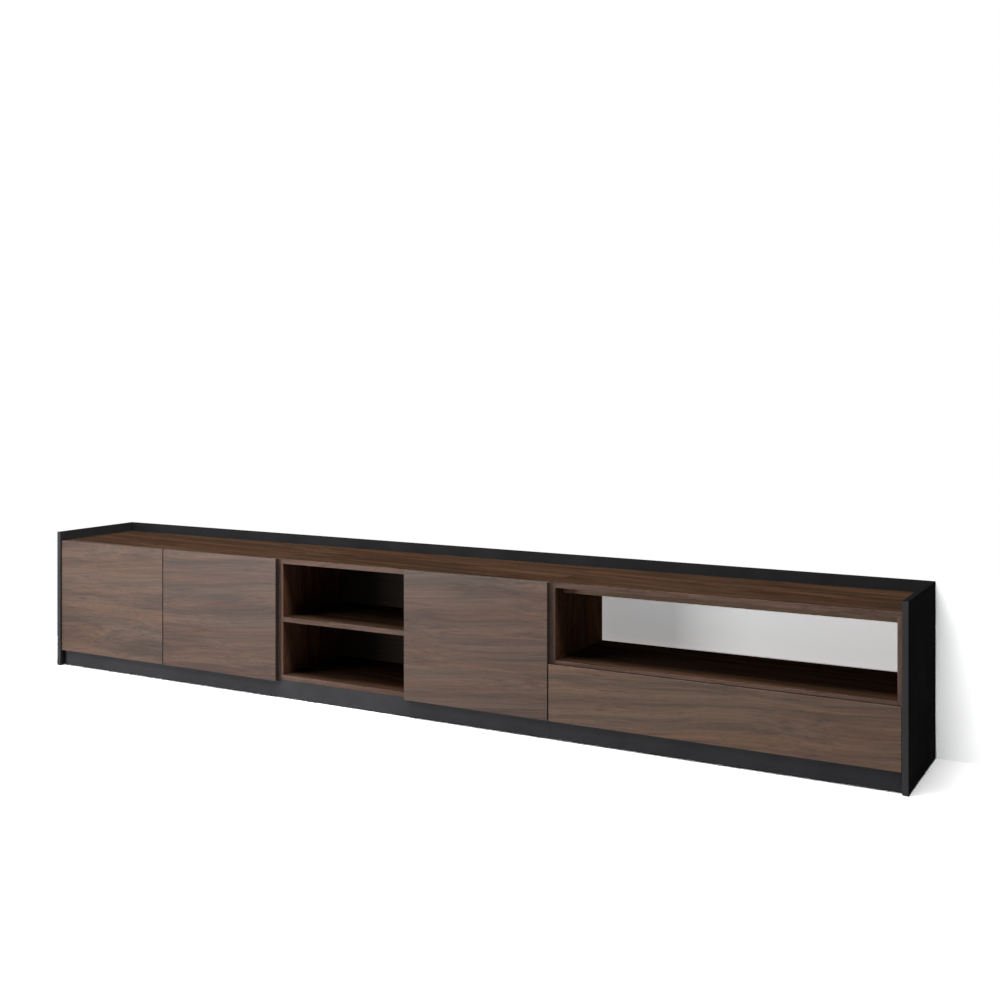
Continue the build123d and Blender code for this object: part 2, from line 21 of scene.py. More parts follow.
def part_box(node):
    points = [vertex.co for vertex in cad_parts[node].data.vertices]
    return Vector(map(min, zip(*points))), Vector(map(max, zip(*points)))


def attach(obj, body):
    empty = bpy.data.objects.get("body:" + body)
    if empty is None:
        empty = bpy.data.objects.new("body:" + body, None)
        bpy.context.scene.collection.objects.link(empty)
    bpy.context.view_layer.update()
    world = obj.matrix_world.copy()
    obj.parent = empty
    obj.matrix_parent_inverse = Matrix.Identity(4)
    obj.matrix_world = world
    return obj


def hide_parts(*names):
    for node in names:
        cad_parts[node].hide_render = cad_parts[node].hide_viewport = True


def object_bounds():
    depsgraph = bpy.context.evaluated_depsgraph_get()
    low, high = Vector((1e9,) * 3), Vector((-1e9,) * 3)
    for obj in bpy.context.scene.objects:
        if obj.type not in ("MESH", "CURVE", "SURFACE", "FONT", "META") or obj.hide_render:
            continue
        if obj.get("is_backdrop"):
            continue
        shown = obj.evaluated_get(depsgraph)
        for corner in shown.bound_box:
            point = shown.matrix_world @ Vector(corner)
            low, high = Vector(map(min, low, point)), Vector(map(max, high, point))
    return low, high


MM = 0.001
Pair = tuple[float, float]
Point = tuple[float, float, float]
Shape = bmesh.types.BMesh
Node = bpy.types.Node
Socket = bpy.types.NodeSocket
Source = Union[Node, Socket]
Tree = bpy.types.NodeTree
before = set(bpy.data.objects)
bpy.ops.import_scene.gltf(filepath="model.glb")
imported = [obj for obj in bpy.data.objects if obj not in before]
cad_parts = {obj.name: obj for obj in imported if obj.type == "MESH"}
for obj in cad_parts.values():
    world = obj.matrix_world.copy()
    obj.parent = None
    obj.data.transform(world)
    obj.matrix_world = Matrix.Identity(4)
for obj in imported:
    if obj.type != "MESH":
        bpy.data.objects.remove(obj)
log = logging.getLogger("television_stand")


# Node graphs and colours


def linear(hex_colour: str) -> tuple[float, float, float, float]:
    """Turns an sRGB hex colour into the linear colour that shaders take.

    Args:
        hex_colour: The colour as "#RRGGBB".

    Returns:
        Linear red, green, blue, and an alpha of 1.
    """
    channels = [int(hex_colour[start:start + 2], 16) / 255 for start in (1, 3, 5)]
    curved = [c / 12.92 if c <= 0.04045 else ((c + 0.055) / 1.055) ** 2.4 for c in channels]
    return curved[0], curved[1], curved[2], 1.0


def add_node(
    tree: Tree, kind: str, inputs: dict[str | int, Any] | tuple[Any, ...] = (), **settings: Any
) -> Node:
    """Adds one node with its settings, its constant inputs and its links.

    Args:
        tree: The node tree that gets the node.
        kind: The node's type name.
        inputs: What the inputs get, in order or by name or number: a constant, the socket that
            feeds the input, or a node, whose first output in use feeds it.
        settings: Properties of the node itself. Those of a ramp are its stops, as pairs of a
            position and an sRGB hex colour.

    Returns:
        The new node.
    """
    node = tree.nodes.new(kind)
    for index, (position, colour) in enumerate(settings.pop("stops", ())):
        node.color_ramp.elements[index].position = position
        node.color_ramp.elements[index].color = linear(colour)
    for name, value in settings.items():
        setattr(node, name, value)
    for key, value in inputs.items() if isinstance(inputs, dict) else enumerate(inputs):
        if isinstance(value, Node):
            value = next(socket for socket in value.outputs if socket.enabled)
        if isinstance(value, Socket):
            tree.links.new(value, node.inputs[key])
        else:
            node.inputs[key].default_value = value
    return node


def soft_marks(
    tree: Tree, place: Source, length: float, width: float, detail: float, **inputs: float
) -> Node:
    """Adds a pattern of soft marks, from 0 to 1, which may be drawn out along X.

    Args:
        tree: The node tree.
        place: Coordinates in metres.
        length: Size of a mark along X.
        width: Size of a mark along Y and Z.
        detail: Octaves of finer marks.
        inputs: Other inputs of the noise.

    Returns:
        The node that gives the pattern.
    """
    scale = (1 / length, 1 / width, 1 / width)
    squeezed = add_node(tree, "ShaderNodeMapping", {"Vector": place, "Scale": scale})
    return add_node(
        tree, "ShaderNodeTexNoise",
        {"Vector": squeezed, "Scale": 1.0, "Detail": detail, **inputs},
    )


def facing(tree: Tree, axis: str) -> Socket:
    """Adds how much of the surface's own direction lies along an axis."""
    normal = add_node(tree, "ShaderNodeTexCoord").outputs["Normal"]
    return add_node(tree, "ShaderNodeSeparateXYZ", (normal,)).outputs[axis]


def start_material(name: str) -> tuple[bpy.types.Material, Tree, Socket]:
    """Makes a material with a node that gives the object's own coordinates.

    Args:
        name: The material's name.

    Returns:
        The material, its node tree and the coordinates, in metres.
    """
    material = bpy.data.materials.new(name)
    material.use_nodes = True
    tree = material.node_tree
    tree.nodes.clear()
    return material, tree, add_node(tree, "ShaderNodeTexCoord").outputs["Object"]


# Finishes

# The range of a factor from none to all.
WHOLE = (0.0, 1.0)
# A surface counts as facing an axis when more than this much of its direction lies along it.
FACES_IT = 0.5


class Grain(Enum):
    """Which way a board's printed grain runs: the turn that lays that axis along X."""

    ALONG_X = (0.0, 0.0, 0.0)
    ALONG_Y = (0.0, 0.0, -90.0)
    ALONG_Z = (0.0, 90.0, 0.0)


@dataclass(frozen=True)
class WalnutTones:
    """The inks of a walnut print: its lines, and the dark and pale ends of its two hues."""

    line: str
    grey: tuple[str, str]
    red: tuple[str, str]


FRONT_TONES = WalnutTones("#291D16", ("#443429", "#745D4E"), ("#503327", "#805B46"))
DRAWER_TONES = WalnutTones("#2D2018", ("#503E31", "#7F6654"), ("#593F30", "#89634C"))
CARCASS_TONES = WalnutTones("#1C1410", ("#32251D", "#4C3C30"), ("#3D271B", "#5D4230"))
# The uprights' print is a lighter copy of the carcass print: painted light on their faces.
UPRIGHT_PAINTED_LIGHT_TONES = WalnutTones("#3A281F", ("#573E31", "#785745"), ("#6B4432", "#906247"))
# The carcass boards' front edging: an edging tone, made paler and greyer as painted light and
# painted sheen.
EDGING_AND_PAINTED_LIGHT_TONES = WalnutTones("#5E4D46", ("#705C54", "#8D776C"), ("#765C50", "#947769"))
# Dark tones for the edges of the doors and drawer front: painted shade on all their edges.
PAINTED_SHADE_EDGING_TONES = WalnutTones("#18110D", ("#211813", "#2E231C"), ("#261A14", "#35261D"))
# Pale tones for the stretcher rail's front: painted light on a face that lies in the top board's
# shade.
PAINTED_LIGHT_EDGING_TONES = WalnutTones("#8A7464", ("#9A8270", "#B79C88"), ("#A07F69", "#BC9A80"))


@dataclass(frozen=True)
class WalnutFoil:
    """Walnut-print paper foil, pressed on chipboard and sealed with lacquer.

    The eye gets long lines that wander and here and there close to a flame, grey-brown and
    reddish stripes in low contrast, and a soft even sheen where the lacquer is satin.
    """

    grain: Grain = Grain.ALONG_X
    tones: WalnutTones = CARCASS_TONES
    # The edging's tones: painted light on front edges, painted shade where the doors and drawer
    # front take the dark ones.
    edging_light_and_shade_tones: WalnutTones = EDGING_AND_PAINTED_LIGHT_TONES
    edged_all_round: bool = False
    specular_level: float = 0.0
    roughness: Pair = (0.37, 0.49)
    edging_roughness: float = 1.0
    ior: float = 1.5
    lean: float = 3.0
    board_step: Pair = (1.7, 0.37)
    wander: float = 95 * MM
    wander_size: Pair = (700 * MM, 170 * MM)
    hue_size: Pair = (2100 * MM, 46 * MM)
    stripe_size: Pair = (2100 * MM, 38 * MM)
    streak_size: Pair = (950 * MM, 7 * MM)
    line_size: Pair = (420 * MM, 3.6 * MM)
    # Real pores are about 0.3 mm wide. They are drawn wider, or none would show at this size.
    pore_size: Pair = (24 * MM, 1.5 * MM)
    print_roughness: float = 0.6
    streak_share: float = 0.4
    ink_span: Pair = (0.37, 0.61)
    hue_span: Pair = (0.4, 0.6)
    red_share: Pair = (0.15, 0.75)
    line_span: Pair = (0.54, 0.72)
    line_share: Pair = (0.0, 0.62)
    pore_span: Pair = (0.58, 0.72)
    pore_share: Pair = (0.0, 0.4)
    pore_relief: float = 0.25
    pore_depth: float = 0.05 * MM

    def stretched(self, tree: Tree, along: Source, size: Pair, detail: float) -> Node:
        """Adds marks drawn out along the grain, with a given length and width."""
        return soft_marks(tree, along, *size, detail, Roughness=self.print_roughness)

    def wandering(self, tree: Tree, along: Source) -> Node:
        """Bends the coordinates across the grain, so that all lines wander together.

        Args:
            tree: The node tree.
            along: Coordinates with the grain along X, in metres.

        Returns:
            The node that gives the bent coordinates.
        """
        sway = self.stretched(tree, along, self.wander_size, detail=1.0)
        centred = add_node(tree, "ShaderNodeMath", (sway, 0.5), operation="SUBTRACT")
        return add_node(
            tree, "ShaderNodeVectorMath", (centred, (0.0, self.wander, self.wander), along),
            operation="MULTIPLY_ADD",
        )

    def board_coordinates(self, tree: Tree, place: Source, board_number: int) -> Node:
        """Lays the grain along X and moves each board to its own part of the print.

        Args:
            tree: The node tree.
            place: The object's own coordinates, in metres.
            board_number: The board's number.

        Returns:
            The node that gives the coordinates.
        """
        turn = tuple(math.radians(angle) for angle in self.grain.value)
        lean = math.radians(self.lean)
        along, across = (board_number * step for step in self.board_step)
        level = add_node(tree, "ShaderNodeMapping", {"Vector": place, "Rotation": turn})
        return add_node(
            tree, "ShaderNodeMapping",
            {"Vector": level, "Location": (along, across, 0.0), "Rotation": (0.0, lean, lean)},
        )

    def edging(self, tree: Tree) -> Node:
        """Adds what is 1 on the board's edging and 0 on its faces.

        Doors and drawer fronts are edged all round, and the other boards in front only. The
        edging's tones are painted light on the front edges and painted shade on the edges of the
        doors and drawer front.

        Args:
            tree: The node tree.

        Returns:
            The node that gives the factor.
        """
        backwards, limit = facing(tree, "Y"), -FACES_IT
        if self.edged_all_round:
            backwards = add_node(tree, "ShaderNodeMath", (backwards,), operation="ABSOLUTE")
            limit = FACES_IT
        return add_node(tree, "ShaderNodeMath", (backwards, limit), operation="LESS_THAN")

    def inks(self, tree: Tree, shade: Source, redness: Source, tones: WalnutTones) -> Node:
        """Adds the print's ground: grey-brown and reddish stripes, darker and paler.

        Args:
            tree: The node tree.
            shade: From dark to pale.
            redness: From 0, grey-brown, to 1, reddish.
            tones: The colours.

        Returns:
            The node that gives the colour.
        """
        grey, red = (
            add_node(tree, "ShaderNodeValToRGB", (shade,), stops=zip(self.ink_span, hue))
            for hue in (tones.grey, tones.red)
        )
        inputs = {"Factor": redness, 6: grey, 7: red}
        return add_node(tree, "ShaderNodeMix", inputs, data_type="RGBA")

    def material(self, label: str, board_number: int) -> bpy.types.Material:
        """Makes the material of one board, with its own cut of the print.

        Args:
            label: The material's name.
            board_number: The board's number.

        Returns:
            The material.
        """
        material, tree, place = start_material(label)
        along = self.board_coordinates(tree, place, board_number)
        bent = self.wandering(tree, along)
        stripes = self.stretched(tree, bent, self.stripe_size, detail=2.0)
        streaks = self.stretched(tree, bent, self.streak_size, detail=3.0)
        lines = self.stretched(tree, bent, self.line_size, detail=2.0)
        pores = self.stretched(tree, along, self.pore_size, detail=1.0)
        hues = self.stretched(tree, bent, self.hue_size, detail=3.0)
        redness, line_share, pore_share, lacquer = (
            add_node(tree, "ShaderNodeMapRange", (marks, *span, *target))
            for marks, span, target in (
                (hues, self.hue_span, self.red_share),
                (lines, self.line_span, self.line_share),
                (pores, self.pore_span, self.pore_share),
                (streaks, WHOLE, self.roughness),
            )
        )
        shade = add_node(
            tree, "ShaderNodeMix", {"Factor": self.streak_share, 2: stripes, 3: streaks},
            data_type="FLOAT",
        )
        # The edging mask carries painted light on front edges and painted shade on the fronts'
        # edges.
        edging_light_and_shade_mask = self.edging(tree)
        face = self.inks(tree, shade, redness, self.tones)
        edge = self.inks(tree, shade, redness, self.edging_light_and_shade_tones)
        line_inks = {6: linear(self.tones.line), 7: linear(self.edging_light_and_shade_tones.line)}
        ground, line_ink = (
            add_node(tree, "ShaderNodeMix", {"Factor": edging_light_and_shade_mask, **inks}, data_type="RGBA")
            for inks in ({6: face, 7: edge}, line_inks)
        )
        colour = ground
        for share in (line_share, pore_share):
            inputs = {"Factor": share, 6: colour, 7: line_ink}
            colour = add_node(tree, "ShaderNodeMix", inputs, data_type="RGBA")
        dulling = (edging_light_and_shade_mask, *WHOLE, lacquer, self.edging_roughness)
        pressed = {"Height": pores, "Strength": self.pore_relief, "Distance": self.pore_depth}
        shader = add_node(tree, "ShaderNodeBsdfPrincipled", {
            "Base Color": colour,
            "Roughness": add_node(tree, "ShaderNodeMapRange", dulling),
            "IOR": self.ior,
            "Specular IOR Level": self.specular_level,
            "Normal": add_node(tree, "ShaderNodeBump", pressed, invert=True),
        })
        add_node(tree, "ShaderNodeOutputMaterial", {"Surface": shader})
        return material


@dataclass(frozen=True)
class BlackFoil:
    """Black melamine foil on chipboard, with a faint pressed texture that keeps it satin.

    Faces, front edges and the edges that look up differ a little in tone: the front-facing faces
    are painted lighter, as painted light, and the up-facing ones darker, as painted shade.
    """

    label: str
    face: tuple[str, str]
    # Front-facing faces, painted lighter: painted light.
    front: tuple[str, str]
    # Up-facing faces, painted darker: painted shade.
    top: str = "#1F1F21"
    # The pressed texture is drawn coarser than it is, or none would show at this size.
    texture_size: float = 3 * MM
    texture_relief: float = 0.2
    texture_depth: float = 0.06 * MM
    patch_size: float = 120 * MM
    patch_span: Pair = (0.35, 0.7)
    roughness: Pair = (0.44, 0.58)
    specular_level: float = 0.0

    def material(self) -> bpy.types.Material:
        """Makes the foil's material.

        Returns:
            The material.
        """
        material, tree, place = start_material(self.label)
        patches = soft_marks(tree, place, self.patch_size, self.patch_size, detail=3.0)
        texture = soft_marks(tree, place, self.texture_size, self.texture_size, detail=2.0)
        face, front = (
            add_node(tree, "ShaderNodeValToRGB", (patches,), stops=zip(self.patch_span, tones))
            for tones in (self.face, self.front)
        )
        # Painted light on front-facing faces and painted shade on up-facing ones, by the
        # surface's direction.
        forwards, upwards = (facing(tree, "Y"), -FACES_IT), (facing(tree, "Z"), FACES_IT)
        painted_light_front_mask = add_node(tree, "ShaderNodeMath", forwards, operation="LESS_THAN")
        painted_shade_top_mask = add_node(tree, "ShaderNodeMath", upwards, operation="GREATER_THAN")
        colour = face
        for factor, tone in ((painted_light_front_mask, front), (painted_shade_top_mask, linear(self.top))):
            inputs = {"Factor": factor, 6: colour, 7: tone}
            colour = add_node(tree, "ShaderNodeMix", inputs, data_type="RGBA")
        pressed = {
            "Height": texture, "Strength": self.texture_relief, "Distance": self.texture_depth,
        }
        gloss = (patches, *WHOLE, *self.roughness)
        shader = add_node(tree, "ShaderNodeBsdfPrincipled", {
            "Base Color": colour,
            "Roughness": add_node(tree, "ShaderNodeMapRange", gloss),
            "Specular IOR Level": self.specular_level,
            "Normal": add_node(tree, "ShaderNodeBump", pressed),
        })
        add_node(tree, "ShaderNodeOutputMaterial", {"Surface": shader})
        return material


@dataclass(frozen=True)
class Hardboard:
    """Pressed hardboard: a dark wood print on the front, bare brown fibre on the back.

    The print is thin and nearly matt, and the bare fibre is mottled and rough.
    """

    label: str = "printed hardboard"
    wood_print: tuple[str, str] = ("#1E1510", "#2C2019")
    fibre: tuple[str, str] = ("#5C4330", "#7C6047")
    colour_span: Pair = (0.35, 0.65)
    print_size: Pair = (500 * MM, 12 * MM)
    fibre_size: Pair = (4 * MM, 4 * MM)
    fibre_twist: float = 1.5
    fibre_relief: float = 0.3
    fibre_depth: float = 0.1 * MM
    roughness: float = 0.7
    specular_level: float = 0.2

    def material(self) -> bpy.types.Material:
        """Makes the board's material.

        Returns:
            The material.
        """
        material, tree, place = start_material(self.label)
        streaks = soft_marks(tree, place, *self.print_size, detail=4.0)
        fibres = soft_marks(
            tree, place, *self.fibre_size, detail=5.0, Distortion=self.fibre_twist
        )
        front, back = (
            add_node(tree, "ShaderNodeValToRGB", (marks,), stops=zip(self.colour_span, tones))
            for marks, tones in ((streaks, self.wood_print), (fibres, self.fibre))
        )
        backwards = (facing(tree, "Y"), FACES_IT)
        is_rear = add_node(tree, "ShaderNodeMath", backwards, operation="GREATER_THAN")
        sides = {"Factor": is_rear, 6: front, 7: back}
        rough = {
            "Height": fibres, "Strength": self.fibre_relief, "Distance": self.fibre_depth,
        }
        shader = add_node(tree, "ShaderNodeBsdfPrincipled", {
            "Base Color": add_node(tree, "ShaderNodeMix", sides, data_type="RGBA"),
            "Roughness": self.roughness,
            "Specular IOR Level": self.specular_level,
            "Normal": add_node(tree, "ShaderNodeBump", rough),
        })
        add_node(tree, "ShaderNodeOutputMaterial", {"Surface": shader})
        return material


@dataclass(frozen=True)
class PlatedSteel:
    """Pressed steel with a satin nickel plating, a little uneven in its shine."""

    label: str = "satin nickel-plated steel"
    tones: tuple[str, str] = ("#A5A5A4", "#C3C2BF")
    tone_span: Pair = (0.3, 0.7)
    patch_size: Pair = (9 * MM, 9 * MM)
    roughness: Pair = (0.23, 0.42)

    def material(self) -> bpy.types.Material:
        """Makes the metal's material.

        Returns:
            The material.
        """
        material, tree, place = start_material(self.label)
        patches = soft_marks(tree, place, *self.patch_size, detail=4.0)
        stops = zip(self.tone_span, self.tones)
        gloss = (patches, *WHOLE, *self.roughness)
        shader = add_node(tree, "ShaderNodeBsdfPrincipled", {
            "Base Color": add_node(tree, "ShaderNodeValToRGB", (patches,), stops=stops),
            "Roughness": add_node(tree, "ShaderNodeMapRange", gloss),
            "Metallic": 1.0,
        })
        add_node(tree, "ShaderNodeOutputMaterial", {"Surface": shader})
        return material


@dataclass(frozen=True)
class MouldedPlastic:
    """Injection-moulded ABS with a fine spark-eroded texture, which makes it matt."""

    label: str = "moulded dark ABS"
    tones: tuple[str, str] = ("#2B2B2C", "#343435")
    tone_span: Pair = (0.3, 0.7)
    texture_size: Pair = (0.8 * MM, 0.8 * MM)
    texture_relief: float = 0.3
    texture_depth: float = 0.05 * MM
    roughness: float = 0.55
    ior: float = 1.53

    def material(self) -> bpy.types.Material:
        """Makes the plastic's material.

        Returns:
            The material.
        """
        material, tree, place = start_material(self.label)
        texture = soft_marks(tree, place, *self.texture_size, detail=2.0)
        stops = zip(self.tone_span, self.tones)
        pressed = {
            "Height": texture, "Strength": self.texture_relief, "Distance": self.texture_depth,
        }
        shader = add_node(tree, "ShaderNodeBsdfPrincipled", {
            "Base Color": add_node(tree, "ShaderNodeValToRGB", (texture,), stops=stops),
            "Roughness": self.roughness,
            "IOR": self.ior,
            "Normal": add_node(tree, "ShaderNodeBump", pressed),
        })
        add_node(tree, "ShaderNodeOutputMaterial", {"Surface": shader})
        return material


@dataclass(frozen=True)
class BeechDowel:
    """Plain turned beech: pale, close-grained, with short flecks along the dowel."""

    label: str = "turned beech"
    tones: tuple[str, str] = ("#A97F55", "#CFA97C")
    tone_span: Pair = (0.3, 0.7)
    fleck_size: Pair = (12 * MM, 0.8 * MM)
    roughness: float = 0.62

    def material(self) -> bpy.types.Material:
        """Makes the wood's material.

        Returns:
            The material.
        """
        material, tree, place = start_material(self.label)
        flecks = soft_marks(tree, place, *self.fleck_size, detail=3.0)
        stops = zip(self.tone_span, self.tones)
        shader = add_node(tree, "ShaderNodeBsdfPrincipled", {
            "Base Color": add_node(tree, "ShaderNodeValToRGB", (flecks,), stops=stops),
            "Roughness": self.roughness,
        })
        add_node(tree, "ShaderNodeOutputMaterial", {"Surface": shader})
        return material


# Mesh shapes

FACING_RIGHT = Matrix.Rotation(math.radians(90), 4, "Y")
FACING_LEFT = Matrix.Rotation(math.radians(-90), 4, "Y")
FACING_BACK = Matrix.Rotation(math.radians(-90), 4, "X")
FACING_FRONT = Matrix.Rotation(math.radians(90), 4, "X")
FACING_DOWN = Matrix.Rotation(math.radians(180), 4, "X")
MERGE_DISTANCE = 0.001 * MM


def at(x: float, y: float, z: float) -> Matrix:
    """Gives the move from the origin to a place."""
    return Matrix.Translation((x, y, z))


def mirrored(x: float = 1.0, z: float = 1.0) -> Matrix:
    """Gives the mirror image along the axis whose factor is -1."""
    return Matrix.Diagonal((x, 1.0, z, 1.0))


def shift(shape: Shape, geometry: Iterable[Any], offset: Point) -> None:
    """Moves the vertices that a list of a shape's geometry holds."""
    corners = [item for item in geometry if isinstance(item, bmesh.types.BMVert)]
    bmesh.ops.translate(shape, verts=corners, vec=offset)


def ease(shape: Shape, edges: Iterable[bmesh.types.BMEdge], offset: float, steps: int) -> None:
    """Rounds edges.

    Args:
        shape: The shape.
        edges: Its edges to round.
        offset: How far from each edge its rounding starts.
        steps: How many faces make the rounding.
    """
    bmesh.ops.bevel(
        shape, geom=list(edges), offset=offset, affect="EDGES", segments=steps, profile=0.5,
        material=-1,
    )


def turned(profile: Iterable[Pair], steps: int) -> Shape:
    """Spins a profile once round the Z axis.

    Args:
        profile: Points as radius and height, from one end to the other.
        steps: How many flat faces make the round.

    Returns:
        The turned shape.
    """
    shape = bmesh.new()
    points = [shape.verts.new((radius, 0.0, height)) for radius, height in profile]
    edges = [shape.edges.new(pair) for pair in zip(points, points[1:])]
    bmesh.ops.spin(
        shape, geom=points + edges, cent=(0, 0, 0), axis=(0, 0, 1), angle=math.tau, steps=steps,
        use_merge=True,
    )
    bmesh.ops.remove_doubles(shape, verts=shape.verts, dist=MERGE_DISTANCE)
    bmesh.ops.recalc_face_normals(shape, faces=shape.faces)
    return shape


def folded_sheet(path: Iterable[Pair], length: float, thickness: float, fold: float) -> Shape:
    """Folds sheet metal along a path in X and Y, and draws it out along Z.

    Args:
        path: The folds and ends of the sheet.
        length: How far it is drawn out.
        thickness: The metal's thickness.
        fold: How far from each fold its rounding starts.

    Returns:
        The folded sheet.
    """
    shape = bmesh.new()
    points = [shape.verts.new((x, y, 0.0)) for x, y in path]
    edges = [shape.edges.new(pair) for pair in zip(points, points[1:])]
    drawn = bmesh.ops.extrude_edge_only(shape, edges=edges)["geom"]
    shift(shape, drawn, (0.0, 0.0, length))
    ease(shape, [edge for edge in shape.edges if len(edge.link_faces) == 2], fold, 5)
    bmesh.ops.recalc_face_normals(shape, faces=shape.faces)
    bmesh.ops.solidify(shape, geom=list(shape.faces), thickness=thickness)
    bmesh.ops.recalc_face_normals(shape, faces=shape.faces)
    return shape


def eased_block(low: Point, high: Point, easing: float) -> Shape:
    """Makes a block with rounded edges.

    Args:
        low: Its lowest corner.
        high: Its highest corner.
        easing: How far from each edge its rounding starts.

    Returns:
        The block.
    """
    shape = bmesh.new()
    bmesh.ops.create_cube(shape, size=1.0)
    bmesh.ops.scale(shape, verts=shape.verts, vec=Vector(high) - Vector(low))
    bmesh.ops.translate(shape, verts=shape.verts, vec=(Vector(high) + Vector(low)) / 2)
    ease(shape, shape.edges, easing, 3)
    return shape


def rounded_strap(length: float, radius: float, thickness: float, easing: float) -> Shape:
    """Makes a flat strap with round ends, from the origin along X and up along Z.

    Args:
        length: From one end's centre to the other's.
        radius: Of both ends.
        thickness: The strap's thickness.
        easing: How far from each rim its rounding starts.

    Returns:
        The strap.
    """
    steps = 32
    shape = bmesh.new()
    outline = bmesh.ops.create_circle(
        shape, cap_ends=True, segments=steps, radius=radius,
        matrix=Matrix.Rotation(math.pi / steps, 4, "Z"),
    )["verts"]
    shift(shape, [corner for corner in outline if corner.co.x > 0], (length, 0.0, 0.0))
    raised = bmesh.ops.extrude_face_region(shape, geom=list(shape.faces))["geom"]
    shift(shape, raised, (0.0, 0.0, thickness))
    rims = []
    for edge in shape.edges:
        start, end = edge.verts
        if abs(start.co.z - end.co.z) < thickness / 2:
            rims.append(edge)
    ease(shape, rims, easing, 2)
    bmesh.ops.recalc_face_normals(shape, faces=shape.faces)
    return shape


def press_cross(shape: Shape, top: float, reach: float, width: float, depth: float) -> None:
    """Presses a cross recess into a flat top.

    Args:
        shape: The shape, whose top is level.
        top: The height of the top.
        reach: How far the cross's arms reach from the middle.
        width: How wide they are.
        depth: How deep the cross is.
    """
    for axis in (Vector((1, 0, 0)), Vector((0, 1, 0))):
        for offset in (-reach, -width / 2, width / 2, reach):
            flat = [
                face for face in shape.faces
                if abs(face.calc_center_median().z - top) < MERGE_DISTANCE
            ]
            edges = {edge for face in flat for edge in face.edges}
            corners = {corner for face in flat for corner in face.verts}
            bmesh.ops.bisect_plane(
                shape, geom=flat + list(edges) + list(corners), plane_co=axis * offset,
                plane_no=axis,
            )
    arms = []
    for face in shape.faces:
        middle = face.calc_center_median()
        near, far = sorted((abs(middle.x), abs(middle.y)))
        if abs(middle.z - top) < MERGE_DISTANCE and near < width / 2 and far < reach:
            arms.append(face)
    pressed = bmesh.ops.extrude_face_region(shape, geom=arms)["geom"]
    shift(shape, pressed, (0.0, 0.0, -depth))
    bmesh.ops.delete(shape, geom=arms, context="FACES")
    bmesh.ops.recalc_face_normals(shape, faces=shape.faces)


class ScrewSize(Enum):
    """Head radius, head height, shank radius and shank length of a kind of screw."""

    HINGE_CUP = (3.2 * MM, 1.3 * MM, 1.6 * MM, 10 * MM)
    HINGE_PLATE = (4.0 * MM, 1.6 * MM, 2.5 * MM, 10 * MM)
    HINGE_SETTING = (3.4 * MM, 1.2 * MM, 2.0 * MM, 4 * MM)
    RUNNER = (3.4 * MM, 1.2 * MM, 2.0 * MM, 8 * MM)
    LATCH = (2.8 * MM, 1.4 * MM, 1.5 * MM, 20 * MM)
    TIE_BOLT = (6 * MM, 2 * MM, 2.5 * MM, 27 * MM)


def screw(
    head_radius: float, head_height: float, shank_radius: float, shank_length: float
) -> Shape:
    """Makes a cross-recessed pan-head screw, whose head stands up from the origin.

    Args:
        head_radius: The head's radius.
        head_height: The head's height.
        shank_radius: The shank's radius.
        shank_length: The shank's length, down from the origin.

    Returns:
        The screw.
    """
    # The head's rim is upright, its shoulder slopes, and its middle is flat.
    flat = 0.68 * head_radius
    shape = turned(
        ((0.0, -shank_length), (0.5 * shank_radius, -shank_length),
         (shank_radius, -shank_length + shank_radius), (shank_radius, 0.0), (head_radius, 0.0),
         (head_radius, 0.45 * head_height), (0.9 * head_radius, 0.8 * head_height),
         (flat, head_height), (0.0, head_height)),
        steps=20,
    )
    press_cross(shape, head_height, 0.85 * flat, 0.26 * head_radius, 0.6 * head_height)
    return shape


def rivet(radius: float, length: float, head_radius: float, head_height: float) -> Shape:
    """Makes a pin about the origin along Z, with a domed head on both ends.

    Args:
        radius: The pin's radius.
        length: Its length between the heads.
        head_radius: Each head's radius.
        head_height: Each head's height, which may be nothing.

    Returns:
        The pin.
    """
    half = length / 2
    end = [(0.0, half), (radius, half)]
    if head_height > 0:
        end = [
            (0.0, half + head_height), (0.6 * head_radius, half + 0.9 * head_height),
            (head_radius, half + 0.3 * head_height), (head_radius, half), (radius, half),
        ]
    return turned(end + [(r, -z) for r, z in reversed(end)], steps=20)


class Piece:
    """One object under construction, to which shapes are added in their final places."""

    sharp_angle = math.radians(35)

    def __init__(self, name: str) -> None:
        """Starts an empty piece with the object's name."""
        self.name = name
        self.mesh = bmesh.new()

    def add(self, shape: Shape, place: Matrix) -> None:
        """Adds a copy of a shape.

        Args:
            shape: The shape, in its own frame.
            place: From its own frame to the stand's. It may mirror.
        """
        copy = bpy.data.meshes.new("copy")
        shape.to_mesh(copy)
        copy.transform(place)
        if place.is_negative:
            copy.flip_normals()
        self.mesh.from_mesh(copy)
        bpy.data.meshes.remove(copy)

    def finish(self, material: bpy.types.Material, body: str, slot: str, *nodes: str) -> None:
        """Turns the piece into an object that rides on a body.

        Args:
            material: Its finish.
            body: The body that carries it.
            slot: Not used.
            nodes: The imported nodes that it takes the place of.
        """
        mesh = bpy.data.meshes.new(self.name)
        self.mesh.to_mesh(mesh)
        self.mesh.free()
        mesh.materials.append(material)
        mesh.polygons.foreach_set("use_smooth", [True] * len(mesh.polygons))
        mesh.set_sharp_from_angle(angle=self.sharp_angle)
        piece = bpy.data.objects.new(self.name, mesh)
        bpy.context.collection.objects.link(piece)
        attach(piece, body)
        if nodes:
            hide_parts(*nodes)
        log.info("%s: %d faces, %s", self.name, len(mesh.polygons), material.name)


# Sub-assemblies


def dress(material: bpy.types.Material, *nodes: str) -> None:
    """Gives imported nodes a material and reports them.

    Args:
        material: The material that they get.
        nodes: Names of the nodes.
    """
    for name in nodes:
        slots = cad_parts[name].data.materials
        slots.clear()
        slots.append(material)
        log.info("%s: %s", name, material.name)


